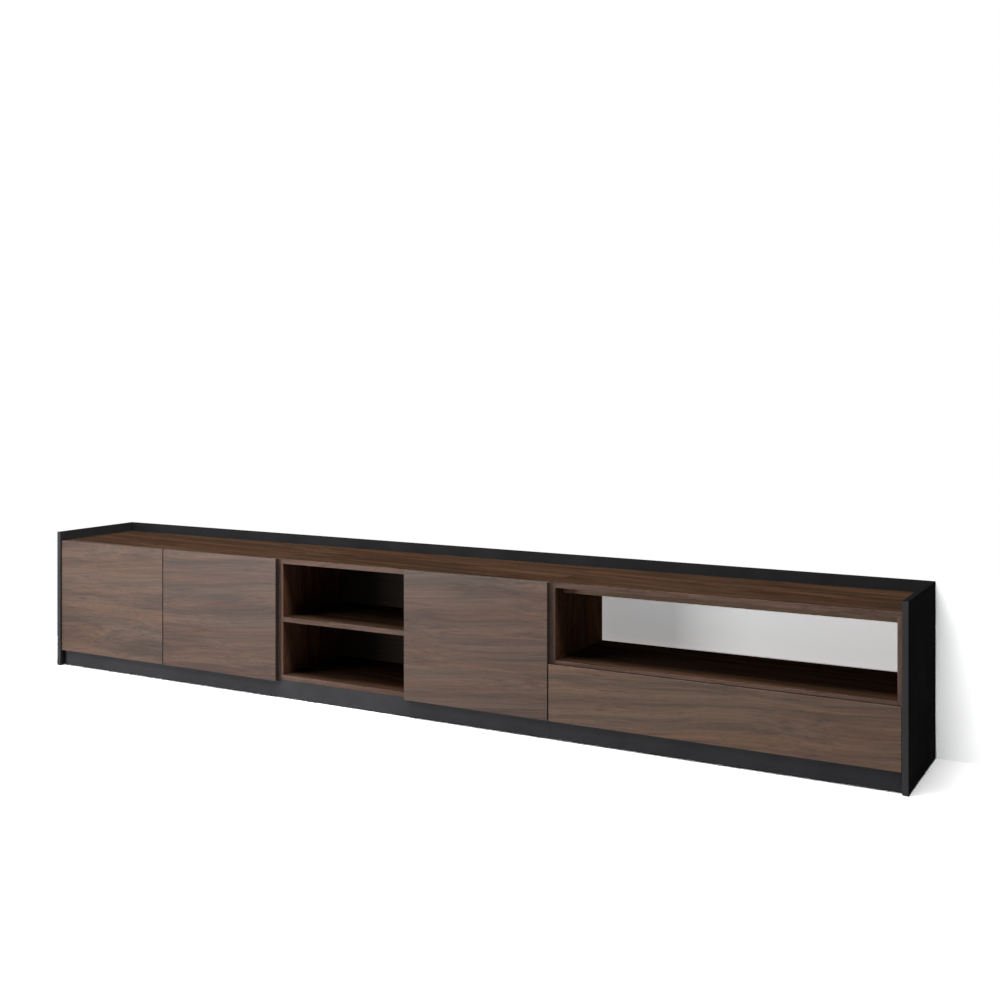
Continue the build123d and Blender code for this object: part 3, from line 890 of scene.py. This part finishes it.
@dataclass
class WalnutBoards:
    """The boards of the three modules, the doors and the drawer, each with its own print."""

    # The fronts' edges take the dark tones: painted shade.
    satin_front: WalnutFoil = WalnutFoil(
        tones=FRONT_TONES, edging_light_and_shade_tones=PAINTED_SHADE_EDGING_TONES, edged_all_round=True,
        specular_level=0.5,
    )
    drawer_edging_roughness: float = 0.15
    level: tuple[str, ...] = (
        "left_cabinet_top", "middle_cabinet_top", "right_cabinet_top", "left_cabinet_bottom",
        "middle_cabinet_bottom", "right_cabinet_bottom", "niche_shelf", "loose_shelves",
        "right_cabinet_mid_board",
    )
    doors: tuple[str, ...] = ("left_door", "middle_door", "right_door")
    upright: tuple[str, ...] = (
        "left_cabinet_left_side", "left_cabinet_right_side", "left_cabinet_partition",
        "middle_cabinet_left_side", "middle_cabinet_right_side", "middle_cabinet_divider",
        "right_cabinet_left_side", "right_cabinet_right_side",
    )

    def build(self) -> None:
        """Dresses every walnut board with the grain along its length."""
        drawer_foil = replace(
            self.satin_front, tones=DRAWER_TONES, edging_roughness=self.drawer_edging_roughness
        )
        rows = (
            (WalnutFoil(), self.level),
            # The rail's front gets the pale tones, painted light.
            (WalnutFoil(edging_light_and_shade_tones=PAINTED_LIGHT_EDGING_TONES), ("stretcher_rail",)),
            (self.satin_front, self.doors),
            (drawer_foil, ("drawer_front",)),
            (WalnutFoil(), ("drawer_back",)),
            (WalnutFoil(Grain.ALONG_Y), ("drawer_sides",)),
            # The uprights get the lighter print, painted light.
            (WalnutFoil(Grain.ALONG_Z, UPRIGHT_PAINTED_LIGHT_TONES), self.upright),
        )
        boards = [(foil, name) for foil, names in rows for name in names]
        for number, (foil, name) in enumerate(boards, start=1):
            dress(foil.material(f"walnut foil {name}", number), name)


@dataclass
class BlackSurround:
    """The black end panels, upstand and plinth. The upstand's foil is a darker copy, painted
    shade, and the plinth's a lighter one, painted light.
    """

    panels: tuple[str, ...] = ("left_end_panel", "right_end_panel")
    upstand: tuple[str, ...] = ("upstand_left", "upstand_middle", "upstand_right")
    plinth: tuple[str, ...] = (
        "plinth_left", "plinth_middle", "plinth_right", "plinth_rear_boards", "plinth_braces",
    )
    panel_foil: BlackFoil = BlackFoil(
        "black melamine panel foil", ("#353537", "#3C3C3E"), ("#535355", "#59595B")
    )
    # A darker copy of the black foil: painted shade on the upstand.
    upstand_painted_shade_foil: BlackFoil = BlackFoil(
        "black melamine upstand foil", ("#2F2F31", "#363637"), ("#313133", "#373739")
    )
    # A lighter copy of the black foil: painted light on the plinth.
    plinth_painted_light_foil: BlackFoil = BlackFoil(
        "black melamine plinth foil", ("#3C3C3E", "#434345"), ("#555558", "#5D5D60")
    )

    def build(self) -> None:
        """Dresses the black boards."""
        dress(self.panel_foil.material(), *self.panels)
        dress(self.upstand_painted_shade_foil.material(), *self.upstand)
        dress(self.plinth_painted_light_foil.material(), *self.plinth)


@dataclass
class Backs:
    """The thin backs of the modules and the drawer's bottom."""

    boards: tuple[str, ...] = (
        "left_cabinet_back", "middle_cabinet_back", "right_cabinet_back", "drawer_bottom",
    )
    board: Hardboard = Hardboard()

    def build(self) -> None:
        """Dresses the thin boards."""
        dress(self.board.material(), *self.boards)


@dataclass
class ConcealedHinges:
    """The cup, the link and the arm of all six hinges, pressed from sheet steel.

    A hinge's own frame has X inwards from the door's outer edge, Y back from its front face
    and Z up from the hinge's middle.
    """

    steel: bpy.types.Material
    doors: tuple[tuple[str, int], ...] = (("left", 1), ("middle", -1), ("right", -1))
    end_inset: float = 80 * MM
    door_thickness: float = 16 * MM
    cup_centre: float = 22 * MM
    cup_radius: float = 17.4 * MM
    cup_depth: float = 11.5 * MM
    cup_wall: float = 1.0 * MM
    cup_corner: float = 1.5 * MM
    ear_half_width: float = 7 * MM
    ear_reach: float = 12 * MM
    ear_thickness: float = 0.8 * MM
    ear_easing: float = 0.35 * MM
    cup_pin: Pair = (15 * MM, 10 * MM)
    cup_pin_length: float = 26 * MM
    knee: Pair = (25 * MM, 9 * MM)
    arm_pin: Pair = (47.5 * MM, 30 * MM)
    arm_root: Pair = (19.5 * MM, 55 * MM)
    pin_radius: float = 1.5 * MM
    pin_head: Pair = (2.8 * MM, 0.6 * MM)
    bore_gap: float = 0.05 * MM
    bush_radius: float = 2.6 * MM
    bush_ends: Pair = (5.7 * MM, 12.9 * MM)
    eye_radius: float = 3.0 * MM
    chamfer: float = 0.3 * MM
    link_width: float = 10 * MM
    link_thickness: float = 1.2 * MM
    link_fold: float = 4 * MM
    cheek_gap: float = 10.8 * MM
    cheek_thickness: float = 2.0 * MM
    cheek_radius: float = 4.5 * MM
    cheek_easing: float = 0.4 * MM
    cover_inset: float = 1.0 * MM
    cover_thickness: float = 1.6 * MM
    cover_slack: float = 0.1 * MM
    setting_screws: Pair = (0.42, 0.8)
    plate_face: float = 14 * MM
    plate_thickness: float = 2.5 * MM
    plate_depth: float = 38 * MM
    plate_height: float = 44 * MM
    plate_easing: float = 0.7 * MM
    plate_screw_rise: float = 15 * MM
    boss_ends: Pair = (9 * MM, 4 * MM)
    boss_height: float = 4 * MM
    boss_slack: float = 0.3 * MM
    boss_easing: float = 0.5 * MM

    def frames(self, door: str, hand: int) -> list[Matrix]:
        """The frames of one door's lower and upper hinge.

        Args:
            door: The door's node.
            hand: 1 where the door runs to the right from its hinges, -1 to the left.

        Returns:
            Two matrices from the hinge's own frame to the stand's.
        """
        low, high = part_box(door)
        edge = low.x if hand == 1 else high.x
        heights = (low.z + self.end_inset, high.z - self.end_inset)
        return [at(edge, low.y, z) @ mirrored(x=hand) for z in heights]

    def add_cup(self, piece: Piece, hinge: Matrix) -> None:
        """Adds the pressed cup, its ears, their screws, and the pin with its bushes.

        Args:
            piece: What it is added to.
            hinge: From the hinge's own frame to the stand's.
        """
        outer, inner = self.cup_radius, self.cup_radius - self.cup_wall
        depth, floor = self.cup_depth, self.cup_depth - self.cup_wall
        corner = self.cup_corner
        cup = turned(
            ((0.0, -depth), (outer - corner, -depth),
             (outer - 0.4 * corner, -depth + 0.4 * corner), (outer, -depth + corner),
             (outer, 0.2 * MM), (inner + 0.3 * MM, 0.2 * MM), (inner, -0.3 * MM),
             (inner, -floor + 2 * corner), (inner - 0.6 * corner, -floor + 0.6 * corner),
             (inner - 2 * corner, -floor), (0.25 * inner, -floor), (0.0, -floor + 0.4 * MM)),
            steps=40,
        )
        centre = hinge @ at(self.cup_centre, self.door_thickness, 0.0)
        piece.add(cup, centre @ FACING_BACK)
        near, far = inner + 0.3 * MM, outer + self.ear_reach
        ear = eased_block(
            (-self.ear_half_width, 0.0, near), (self.ear_half_width, self.ear_thickness, far),
            self.ear_easing,
        )
        ear_screw = screw(*ScrewSize.HINGE_CUP.value)
        pin_place = hinge @ at(*self.cup_pin, 0.0)
        piece.add(rivet(self.pin_radius, self.cup_pin_length, self.pin_radius, 0.0), pin_place)
        bore = self.pin_radius + self.bore_gap
        near_end, far_end = self.bush_ends
        bush = turned(
            ((bore, near_end), (self.bush_radius - self.chamfer, near_end),
             (self.bush_radius, near_end + self.chamfer), (self.bush_radius, far_end),
             (bore, far_end), (bore, near_end)),
            steps=20,
        )
        for up in (1, -1):
            piece.add(ear, centre @ mirrored(z=up))
            seat = at(0.0, self.ear_thickness, up * (near + far) / 2)
            piece.add(ear_screw, centre @ seat @ FACING_BACK)
            piece.add(bush, pin_place @ mirrored(z=up))

    def add_link(self, piece: Piece, hinge: Matrix) -> None:
        """Adds the bent strap with an eye round each pin.

        Args:
            piece: What it is added to.
            hinge: From the hinge's own frame to the stand's.
        """
        half = self.link_width / 2
        strap = folded_sheet(
            (self.cup_pin, self.knee, self.arm_pin), self.link_width, self.link_thickness,
            self.link_fold,
        )
        piece.add(strap, hinge @ at(0.0, 0.0, -half))
        bore, rim = self.pin_radius + self.bore_gap, self.eye_radius - self.chamfer
        eye = turned(
            ((bore, -half), (rim, -half), (self.eye_radius, -half + self.chamfer),
             (self.eye_radius, half - self.chamfer), (rim, half), (bore, half), (bore, -half)),
            steps=24,
        )
        for pin in (self.cup_pin, self.arm_pin):
            piece.add(eye, hinge @ at(*pin, 0.0))

    def add_plate(self, piece: Piece, hinge: Matrix) -> None:
        """Adds the mounting plate, its boss and its screws.

        Args:
            piece: What it is added to.
            hinge: From the hinge's own frame to the stand's.
        """
        front = self.arm_root[1] - self.plate_depth / 2
        rear = front + self.plate_depth
        face = self.plate_face + self.plate_thickness
        half_height = self.plate_height / 2
        plate = eased_block(
            (self.plate_face, front, -half_height), (face, rear, half_height),
            self.plate_easing,
        )
        piece.add(plate, hinge)
        half_boss = self.cheek_gap / 2 - self.boss_slack
        boss = eased_block(
            (face - self.boss_slack, front + self.boss_ends[0], -half_boss),
            (face + self.boss_height, rear - self.boss_ends[1], half_boss), self.boss_easing,
        )
        piece.add(boss, hinge)
        plate_screw = screw(*ScrewSize.HINGE_PLATE.value)
        for up in (1, -1):
            seat = at(face, self.arm_root[1], up * self.plate_screw_rise)
            piece.add(plate_screw, hinge @ seat @ FACING_RIGHT)

    def add_arm(self, piece: Piece, hinge: Matrix) -> None:
        """Adds the arm's two cheeks, its cover, its setting screws and its pin.

        Args:
            piece: What it is added to.
            hinge: From the hinge's own frame to the stand's.
        """
        run = Vector(self.arm_root) - Vector(self.arm_pin)
        turn = Matrix.Rotation(math.atan2(run.y, run.x), 4, "Z")
        arm = hinge @ at(*self.arm_pin, 0.0) @ turn
        half_gap = self.cheek_gap / 2
        outer = half_gap + self.cheek_thickness
        cheek = rounded_strap(
            run.length, self.cheek_radius, self.cheek_thickness, self.cheek_easing
        )
        for low in (half_gap, -outer):
            piece.add(cheek, arm @ at(0.0, 0.0, low))
        half_cover = outer - self.cover_slack
        cover = eased_block(
            (self.cover_inset, -self.cheek_radius, -half_cover),
            (run.length - self.cover_inset, -self.cheek_radius + self.cover_thickness,
             half_cover),
            self.boss_easing,
        )
        piece.add(cover, arm)
        setting_screw = screw(*ScrewSize.HINGE_SETTING.value)
        for share in self.setting_screws:
            seat = at(share * run.length, -self.cheek_radius, 0.0)
            piece.add(setting_screw, arm @ seat @ FACING_FRONT)
        pin = rivet(self.pin_radius, 2 * outer, *self.pin_head)
        piece.add(pin, hinge @ at(*self.arm_pin, 0.0))

    def build(self) -> None:
        """Builds the hinges of the three doors, each part on its own body."""
        arms = Piece("hinge_arms_pressed")
        for name, hand in self.doors:
            cups, links = Piece(f"{name}_cups_pressed"), Piece(f"{name}_links_bent")
            for hinge in self.frames(f"{name}_door", hand):
                self.add_cup(cups, hinge)
                self.add_link(links, hinge)
                self.add_plate(arms, hinge)
                self.add_arm(arms, hinge)
            cups.finish(self.steel, f"{name}_door_leaf", "steel", f"{name}_hinge_cups")
            links.finish(self.steel, f"{name}_door_link", "steel", f"{name}_hinge_links")
        arms.finish(self.steel, "cabinet", "steel", "hinge_arms")


@dataclass
class Runners:
    """The three nested members of both drawer runners, rolled from plated strip."""

    steel: bpy.types.Material
    metal: float = 1.2 * MM
    fold: float = 1.6 * MM
    cabinet_depth: float = 11.4 * MM
    middle_depth: float = 9.4 * MM
    drawer_depth: float = 9.0 * MM
    screw_insets: tuple[float, ...] = (40 * MM, 150 * MM, 260 * MM)

    def add_member(self, piece: Piece, node: str, depth: float, web_outside: bool) -> None:
        """Adds one member on the left and its mirror image on the right.

        Args:
            piece: What it is added to.
            node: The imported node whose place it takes.
            depth: How far the channel reaches from its web to its mouth.
            web_outside: Whether the web stands towards the cabinet's wall.
        """
        low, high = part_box(node)
        half = (high.z - low.z) / 2
        middle = (high.z + low.z) / 2
        member = folded_sheet(
            ((depth, half), (0.0, half), (0.0, -half), (depth, -half)), high.y - low.y,
            self.metal, self.fold,
        )
        web_screw = screw(*ScrewSize.RUNNER.value)
        for wall, hand in ((low.x, 1), (high.x, -1)):
            side = at(wall, low.y, middle) @ mirrored(x=hand)
            if not web_outside:
                side = side @ at(depth, 0.0, 0.0) @ mirrored(x=-1)
                for inset in self.screw_insets:
                    piece.add(web_screw, side @ at(self.metal, inset, 0.0) @ FACING_RIGHT)
            piece.add(member, side @ FACING_BACK)

    def build(self) -> None:
        """Builds the cabinet, middle and drawer members, each on its own body."""
        rows = (
            ("runner_cabinet", self.cabinet_depth, True, "cabinet"),
            ("runner_middle", self.middle_depth, True, "drawer_runner_middle"),
            ("runner_drawer", self.drawer_depth, False, "drawer"),
        )
        for name, depth, web_outside, body in rows:
            piece = Piece(f"{name}_rolled")
            self.add_member(piece, f"{name}_members", depth, web_outside)
            piece.finish(self.steel, body, "steel", f"{name}_members")


@dataclass
class PushLatches:
    """Collars and fixing screws of the latch housings, and plungers with rounded tips."""

    plastic: bpy.types.Material
    steel: bpy.types.Material
    places: tuple[tuple[float, str], ...] = (
        (-1034 * MM, "left_cabinet_top"), (-966 * MM, "left_cabinet_top"),
        (34 * MM, "middle_cabinet_top"), (616 * MM, "right_cabinet_mid_board"),
        (1384 * MM, "right_cabinet_mid_board"),
    )
    plunger_counts: tuple[tuple[str, int], ...] = (
        ("left_door_plunger", 1), ("middle_door_plunger", 1), ("right_door_plunger", 1),
        ("drawer_plungers", 2),
    )
    housing_height: float = 14 * MM
    collar_proud: float = 1.0 * MM
    bore_radius: float = 3.3 * MM
    screw_back: float = 48 * MM
    plunger_radius: float = 3.0 * MM

    def add_housings(self) -> None:
        """Builds the collars and screws of the housings."""
        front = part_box("latch_housings")[0].y
        collars, screws = Piece("latch_collars"), Piece("latch_screws")
        bore, proud = self.bore_radius, self.collar_proud
        collar = turned(
            ((bore, 0.0), (bore, proud), (4.6 * MM, proud), (5.2 * MM, 0.6 * proud),
             (5.4 * MM, 0.0), (bore, 0.0)),
            steps=24,
        )
        fixing = screw(*ScrewSize.LATCH.value)
        for x, board in self.places:
            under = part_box(board)[0].z
            collars.add(collar, at(x, front, under - self.housing_height / 2) @ FACING_FRONT)
            below = at(x, front + self.screw_back, under - self.housing_height)
            screws.add(fixing, below @ FACING_DOWN)
        collars.finish(self.plastic, "cabinet", "plastic")
        screws.finish(self.steel, "cabinet", "steel")

    def add_plungers(self, node: str, count: int) -> None:
        """Builds the plungers of one body.

        Args:
            node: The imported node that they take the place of.
            count: One, or two where one body carries a pair.
        """
        low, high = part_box(node)
        length = high.y - low.y
        radius = self.plunger_radius
        plunger = turned(
            ((0.0, 0.0), (1.5 * MM, -0.15 * MM), (2.5 * MM, -0.7 * MM), (radius, -1.8 * MM),
             (radius, -length), (0.0, -length)),
            steps=24,
        )
        piece = Piece(f"{node}_rounded")
        for x in (low.x + radius, high.x - radius)[:count]:
            piece.add(plunger, at(x, low.y, (low.z + high.z) / 2) @ FACING_FRONT)
        piece.finish(self.plastic, f"{node}_body", "plastic", node)

    def build(self) -> None:
        """Builds the collars and screws on the cabinet, and each plunger on its own body."""
        self.add_housings()
        for node, count in self.plunger_counts:
            self.add_plungers(node, count)


@dataclass
class Fittings:
    """Bolts and screws with pressed cross recesses, and glides with rounded pads."""

    steel: bpy.types.Material
    plastic: bpy.types.Material
    modules: tuple[str, ...] = ("left", "middle", "right")
    module_width: float = 1000 * MM
    board: float = 16 * MM
    tie_inset: float = 110 * MM
    screw_inset: float = 100 * MM
    screw_head: Pair = (4 * MM, 2.5 * MM)
    screw_radius: float = 2.0 * MM
    glide_inset: float = 40 * MM
    glide_radius: float = 7 * MM
    glide_height: float = 2 * MM

    def add_tie_bolts(self) -> None:
        """Builds the bolts that join the modules and the end panels."""
        low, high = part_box("left_cabinet_left_side")
        depths = (low.y + self.tie_inset, high.y - self.tie_inset)
        heights = (low.z + self.tie_inset, high.z - self.tie_inset)
        columns = [(low.x + self.board, FACING_RIGHT)]
        for number in range(1, len(self.modules) + 1):
            columns.append((low.x + number * self.module_width - self.board, FACING_LEFT))
        bolt = screw(*ScrewSize.TIE_BOLT.value)
        piece = Piece("tie_bolts_cross_headed")
        for x, turn in columns:
            for y in depths:
                for z in heights:
                    piece.add(bolt, at(x, y, z) @ turn)
        piece.finish(self.steel, "cabinet", "steel", "tie_bolts")

    def add_upstand_screws(self) -> None:
        """Builds the screws that hold the upstand, flush with its rear face."""
        low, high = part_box("upstand_screws")
        seat_y = high.y - self.screw_head[1]
        shank = screw(*self.screw_head, self.screw_radius, seat_y - low.y)
        piece = Piece("upstand_screws_cross_headed")
        for module in self.modules:
            board_low, board_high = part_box(f"upstand_{module}")
            centre = (board_low.x + board_high.x) / 2
            step = (board_high.x - board_low.x) / 2 - self.screw_inset
            for x in (centre - step, centre, centre + step):
                piece.add(shank, at(x, seat_y, (low.z + high.z) / 2) @ FACING_BACK)
        piece.finish(self.steel, "cabinet", "steel", "upstand_screws")

    def add_glides(self) -> None:
        """Builds the glides under the plinth and the end panels."""
        radius, height = self.glide_radius, self.glide_height
        pad = turned(
            ((0.0, 0.0), (radius - 1.2 * MM, 0.0), (radius - 0.4 * MM, 0.25 * MM),
             (radius, 0.8 * MM), (radius, height), (0.0, height)),
            steps=32,
        )
        places = []
        rows = [sum(corner.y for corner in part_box(node)) / 2
                for node in ("plinth_left", "plinth_rear_boards")]
        step = self.module_width / 2 - self.glide_inset
        for module in self.modules:
            centre = sum(corner.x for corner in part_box(f"upstand_{module}")) / 2
            places += [(centre + side * step, y) for side in (-1, 1) for y in rows]
        for panel in ("left_end_panel", "right_end_panel"):
            low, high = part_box(panel)
            middle = (low.x + high.x) / 2
            places += [(middle, low.y + self.glide_inset), (middle, high.y - self.glide_inset)]
        piece = Piece("glides_rounded")
        for x, y in places:
            piece.add(pad, at(x, y, 0.0))
        piece.finish(self.plastic, "cabinet", "plastic", "glides")

    def build(self) -> None:
        """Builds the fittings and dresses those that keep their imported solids."""
        self.add_tie_bolts()
        self.add_upstand_screws()
        self.add_glides()
        dress(self.steel, "cam_locks", "cam_bolts", "shelf_pins")
        dress(self.plastic, "latch_housings")
        dress(BeechDowel().material(), "shelf_dowels")


# Stage


@dataclass(frozen=True)
class Shade:
    """How the camera sees lit paper: its light times the gain, plus the lift."""

    gain: float
    lift: float


@dataclass(frozen=True)
class Softbox:
    """A rectangular soft lamp: where it hangs, what it faces, its size and its watts."""

    name: str
    place: Point
    aim: Point
    size: Pair
    power: float


@dataclass
class Studio:
    """A pale floor and wall, soft lamps and the camera at the photograph's angle."""

    camera_place: Point = (2.157, -3.445, 1.040)
    camera_turn: float = 29.07
    lens: float = 45.42
    picture_drop: float = -0.1180
    floor_size: float = 12.0
    wall_gap: float = 2 * MM
    paper_colour: str = "#898989"
    shade_reach: Point = (4.0, 2.0, 2.0)
    shade_fade: Pair = (0.6, 1.0)
    shadow_side: float = 16 * MM
    shadow_top: Pair = (430 * MM, 520 * MM)
    floor_shade: Shade = Shade(1.9, 0.0)
    floor_beside: Shade = Shade(3.3, 0.0)
    wall_shade: Shade = Shade(0.0, 1.0)
    wall_beside: Shade = Shade(8.0, 0.0)
    # What the shade beside the stand loses of its gain per metre of height.
    gain_drop: float = 7.6
    card_shade: Shade = Shade(2.0, 0.3)
    card_margin: float = 60 * MM
    card_top: float = 430 * MM
    ambient: Pair = (0.022, 0.3)
    ambient_span: Pair = (0.4, 0.9)
    softboxes: tuple[Softbox, ...] = (
        Softbox("key", (-2.9, -2.7, 3.2), (-0.9, 0.0, 0.3), (1.6, 1.2), 41.0),
        Softbox("low left", (-2.6, -3.4, 0.6), (-0.6, 0.0, 0.3), (1.6, 0.6), 48.0),
        Softbox("overhead right", (1.1, -0.7, 3.2), (1.0, 0.0, 0.3), (2.0, 1.0), 54.0),
        Softbox("overhead left", (-1.0, -0.7, 3.2), (-1.0, 0.0, 0.3), (2.0, 1.0), 75.0),
    )

    def add_camera(self) -> None:
        """Adds the camera and makes it the scene's."""
        data = bpy.data.cameras.new("camera")
        data.lens = self.lens
        data.shift_y = self.picture_drop
        camera = bpy.data.objects.new("camera", data)
        camera.location = self.camera_place
        camera.rotation_euler = (math.radians(90), 0.0, math.radians(self.camera_turn))
        bpy.context.collection.objects.link(camera)
        bpy.context.scene.camera = camera

    def add_lamp(self, softbox: Softbox) -> None:
        """Adds one rectangular soft lamp.

        Args:
            softbox: Where it hangs, its size and its power.
        """
        data = bpy.data.lights.new(softbox.name, "AREA")
        data.shape = "RECTANGLE"
        data.size, data.size_y = softbox.size
        data.energy = softbox.power
        lamp = bpy.data.objects.new(softbox.name, data)
        lamp.location = softbox.place
        towards = Vector(softbox.aim) - Vector(softbox.place)
        lamp.rotation_euler = towards.to_track_quat("-Z", "Y").to_euler()
        bpy.context.collection.objects.link(lamp)

    def rays(self, tree: Tree) -> tuple[Socket, Node]:
        """Adds what tells the rays apart that show the background.

        Args:
            tree: The node tree.

        Returns:
            What is 1 for the camera's rays, and what is 1 for glossy and transmission rays.
        """
        path = add_node(tree, "ShaderNodeLightPath")
        kinds = (path.outputs["Is Glossy Ray"], path.outputs["Is Transmission Ray"])
        mirrors = add_node(tree, "ShaderNodeMath", kinds, operation="MAXIMUM")
        return path.outputs["Is Camera Ray"], mirrors

    def beside(self, tree: Tree, axes: Node, edge: float) -> Node:
        """Adds what is 1 where the stand's right side casts its shadow, and 0 elsewhere.

        Args:
            tree: The node tree.
            axes: The node that gives X, Y and Z in metres.
            edge: X of the stand's right side.

        Returns:
            The node that gives the factor.
        """
        limits = (edge - self.shadow_side, edge)
        right, low = (
            add_node(
                tree, "ShaderNodeMapRange", (axes.outputs[axis], *span, *target),
                interpolation_type="SMOOTHSTEP",
            )
            for axis, span, target in (("X", limits, WHOLE), ("Z", self.shadow_top, (1.0, 0.0)))
        )
        return add_node(tree, "ShaderNodeMath", (right, low), operation="MULTIPLY")

    def seen_paper(
        self, tree: Tree, place: Socket, shade: Shade, beside: Shade, edge: float
    ) -> Node:
        """Adds the paper as the camera sees it, with its shadows near the stand only.

        Args:
            tree: The node tree.
            place: The object's own coordinates, in metres.
            shade: How it is seen in front of the stand and above it.
            beside: How it is seen to the right of the stand.
            edge: X of the stand's right side.

        Returns:
            The node that gives the shader.
        """
        axes = add_node(tree, "ShaderNodeSeparateXYZ", (place,))
        share = self.beside(tree, axes, edge)
        gain, lift = (
            add_node(tree, "ShaderNodeMapRange", (share, *WHOLE, *levels))
            for levels in ((shade.gain, beside.gain), (shade.lift, beside.lift))
        )
        falling = (axes.outputs["Z"], -self.gain_drop)
        drop = add_node(tree, "ShaderNodeMath", falling, operation="MULTIPLY")
        lowered = add_node(
            tree, "ShaderNodeMath", (drop, share, gain), operation="MULTIPLY_ADD"
        )
        shaded = add_node(tree, "ShaderNodeBsdfDiffuse", {"Color": lowered})
        reach = tuple(1 / distance for distance in self.shade_reach)
        squeezed = add_node(tree, "ShaderNodeMapping", {"Vector": place, "Scale": reach})
        distance = add_node(tree, "ShaderNodeVectorMath", (squeezed,), operation="LENGTH")
        glow = add_node(
            tree, "ShaderNodeMapRange", (distance, *self.shade_fade, lift, 1.0),
            interpolation_type="SMOOTHSTEP",
        )
        lifted = add_node(tree, "ShaderNodeEmission", {"Strength": glow})
        return add_node(tree, "ShaderNodeAddShader", (shaded, lifted))

    def paper(
        self, name: str, shade: Shade, beside: Shade, edge: float, one_sided: bool
    ) -> bpy.types.Material:
        """Makes matt white paper that shows shadows near the stand and is white further off.

        Args:
            name: The material's name.
            shade: How the camera sees it in front of the stand and above it.
            beside: How the camera sees it to the right of the stand.
            edge: X of the stand's right side.
            one_sided: Whether its rear is clear to the camera.

        Returns:
            The material.
        """
        material, tree, place = start_material(name)
        shown = add_node(
            tree, "ShaderNodeBsdfDiffuse", {"Color": linear(self.paper_colour)}
        )
        white = add_node(tree, "ShaderNodeEmission", {"Strength": 1.0})
        seen = self.seen_paper(tree, place, shade, beside, edge)
        camera, mirrors = self.rays(tree)
        layers = [(mirrors, white), (camera, seen)]
        if one_sided:
            rear = add_node(tree, "ShaderNodeNewGeometry").outputs["Backfacing"]
            layers.append((rear, add_node(tree, "ShaderNodeBsdfTransparent")))
        for factor, shader in layers:
            shown = add_node(tree, "ShaderNodeMixShader", (factor, shown, shader))
        add_node(tree, "ShaderNodeOutputMaterial", {"Surface": shown})
        return material

    def add_sheet(
        self, name: str, low: Point, high: Point, paper: bpy.types.Material
    ) -> bpy.types.Object:
        """Adds one flat, upright or level sheet of the stage.

        Args:
            name: The sheet's name.
            low: Its lowest corner, which shares Y or Z with the highest.
            high: Its highest corner.
            paper: Its material.

        Returns:
            The sheet's object.
        """
        start, end = Vector(low), Vector(high)
        shape = bmesh.new()
        bmesh.ops.create_grid(shape, x_segments=1, y_segments=1, size=0.5)
        if end.z > start.z:
            upright = Matrix.Rotation(math.radians(90), 3, "X")
            bmesh.ops.rotate(shape, verts=shape.verts, matrix=upright)
        bmesh.ops.scale(shape, verts=shape.verts, vec=end - start)
        bmesh.ops.translate(shape, verts=shape.verts, vec=(end + start) / 2)
        mesh = bpy.data.meshes.new(name)
        shape.to_mesh(mesh)
        shape.free()
        sheet = bpy.data.objects.new(name, mesh)
        mesh.materials.append(paper)
        bpy.context.collection.objects.link(sheet)
        sheet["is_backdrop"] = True
        return sheet

    def add_world(self) -> None:
        """Adds the low surrounding light, white where the camera or a gloss sees it."""
        world = bpy.data.worlds.new("studio")
        world.use_nodes = True
        tree = world.node_tree
        tree.nodes.clear()
        direction = add_node(tree, "ShaderNodeTexCoord").outputs["Generated"]
        depth = add_node(tree, "ShaderNodeSeparateXYZ", (direction,)).outputs["Y"]
        strength = add_node(
            tree, "ShaderNodeMapRange", (depth, *self.ambient_span, *self.ambient)
        )
        dim, white = (
            add_node(
                tree, "ShaderNodeBackground", {"Color": linear("#FFFFFF"), "Strength": level}
            )
            for level in (strength, 1.0)
        )
        seen = add_node(tree, "ShaderNodeMath", self.rays(tree), operation="MAXIMUM")
        shown = add_node(tree, "ShaderNodeMixShader", (seen, dim, white))
        add_node(tree, "ShaderNodeOutputWorld", {"Surface": shown})
        bpy.context.scene.world = world

    def build(self, low: Vector, high: Vector) -> None:
        """Sets the stage round the stand.

        Args:
            low: The stand's lowest corner.
            high: The stand's highest corner.
        """
        half = self.floor_size / 2
        floor_paper, wall_paper, card_paper = (
            self.paper(f"matt white {name}", shade, beside, high.x, one_sided)
            for name, shade, beside, one_sided in (
                ("floor paper", self.floor_shade, self.floor_beside, False),
                ("wall paper", self.wall_shade, self.wall_beside, True),
                ("card", self.card_shade, self.card_shade, True),
            )
        )
        self.add_sheet("floor", (-half, -half, low.z), (half, half, low.z), floor_paper)
        wall_y = high.y + self.wall_gap
        card_y = high.y + self.wall_gap / 2
        bay_low, bay_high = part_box("right_cabinet_mid_board")
        wall = self.add_sheet("wall", (-half, wall_y, low.z), (half, wall_y, half), wall_paper)
        card = self.add_sheet(
            "card_behind_bay", (bay_low.x - self.card_margin, card_y, bay_low.z),
            (bay_high.x, card_y, self.card_top), card_paper,
        )
        for sheet in (wall, card):
            sheet.visible_diffuse = False
            sheet.visible_shadow = False
        for softbox in self.softboxes:
            self.add_lamp(softbox)
        self.add_world()
        self.add_camera()
        bpy.context.scene.view_settings.view_transform = "Standard"
        log.info("studio ready")


def main() -> None:
    """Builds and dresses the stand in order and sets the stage."""
    logging.basicConfig(level=logging.INFO, format="%(message)s")
    low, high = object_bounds()
    WalnutBoards().build()
    BlackSurround().build()
    Backs().build()
    plated = PlatedSteel().material()
    moulded = MouldedPlastic().material()
    ConcealedHinges(plated).build()
    Runners(plated).build()
    PushLatches(moulded, plated).build()
    Fittings(plated, moulded).build()
    Studio().build(low, high)


if __name__ == "__main__":
    main()
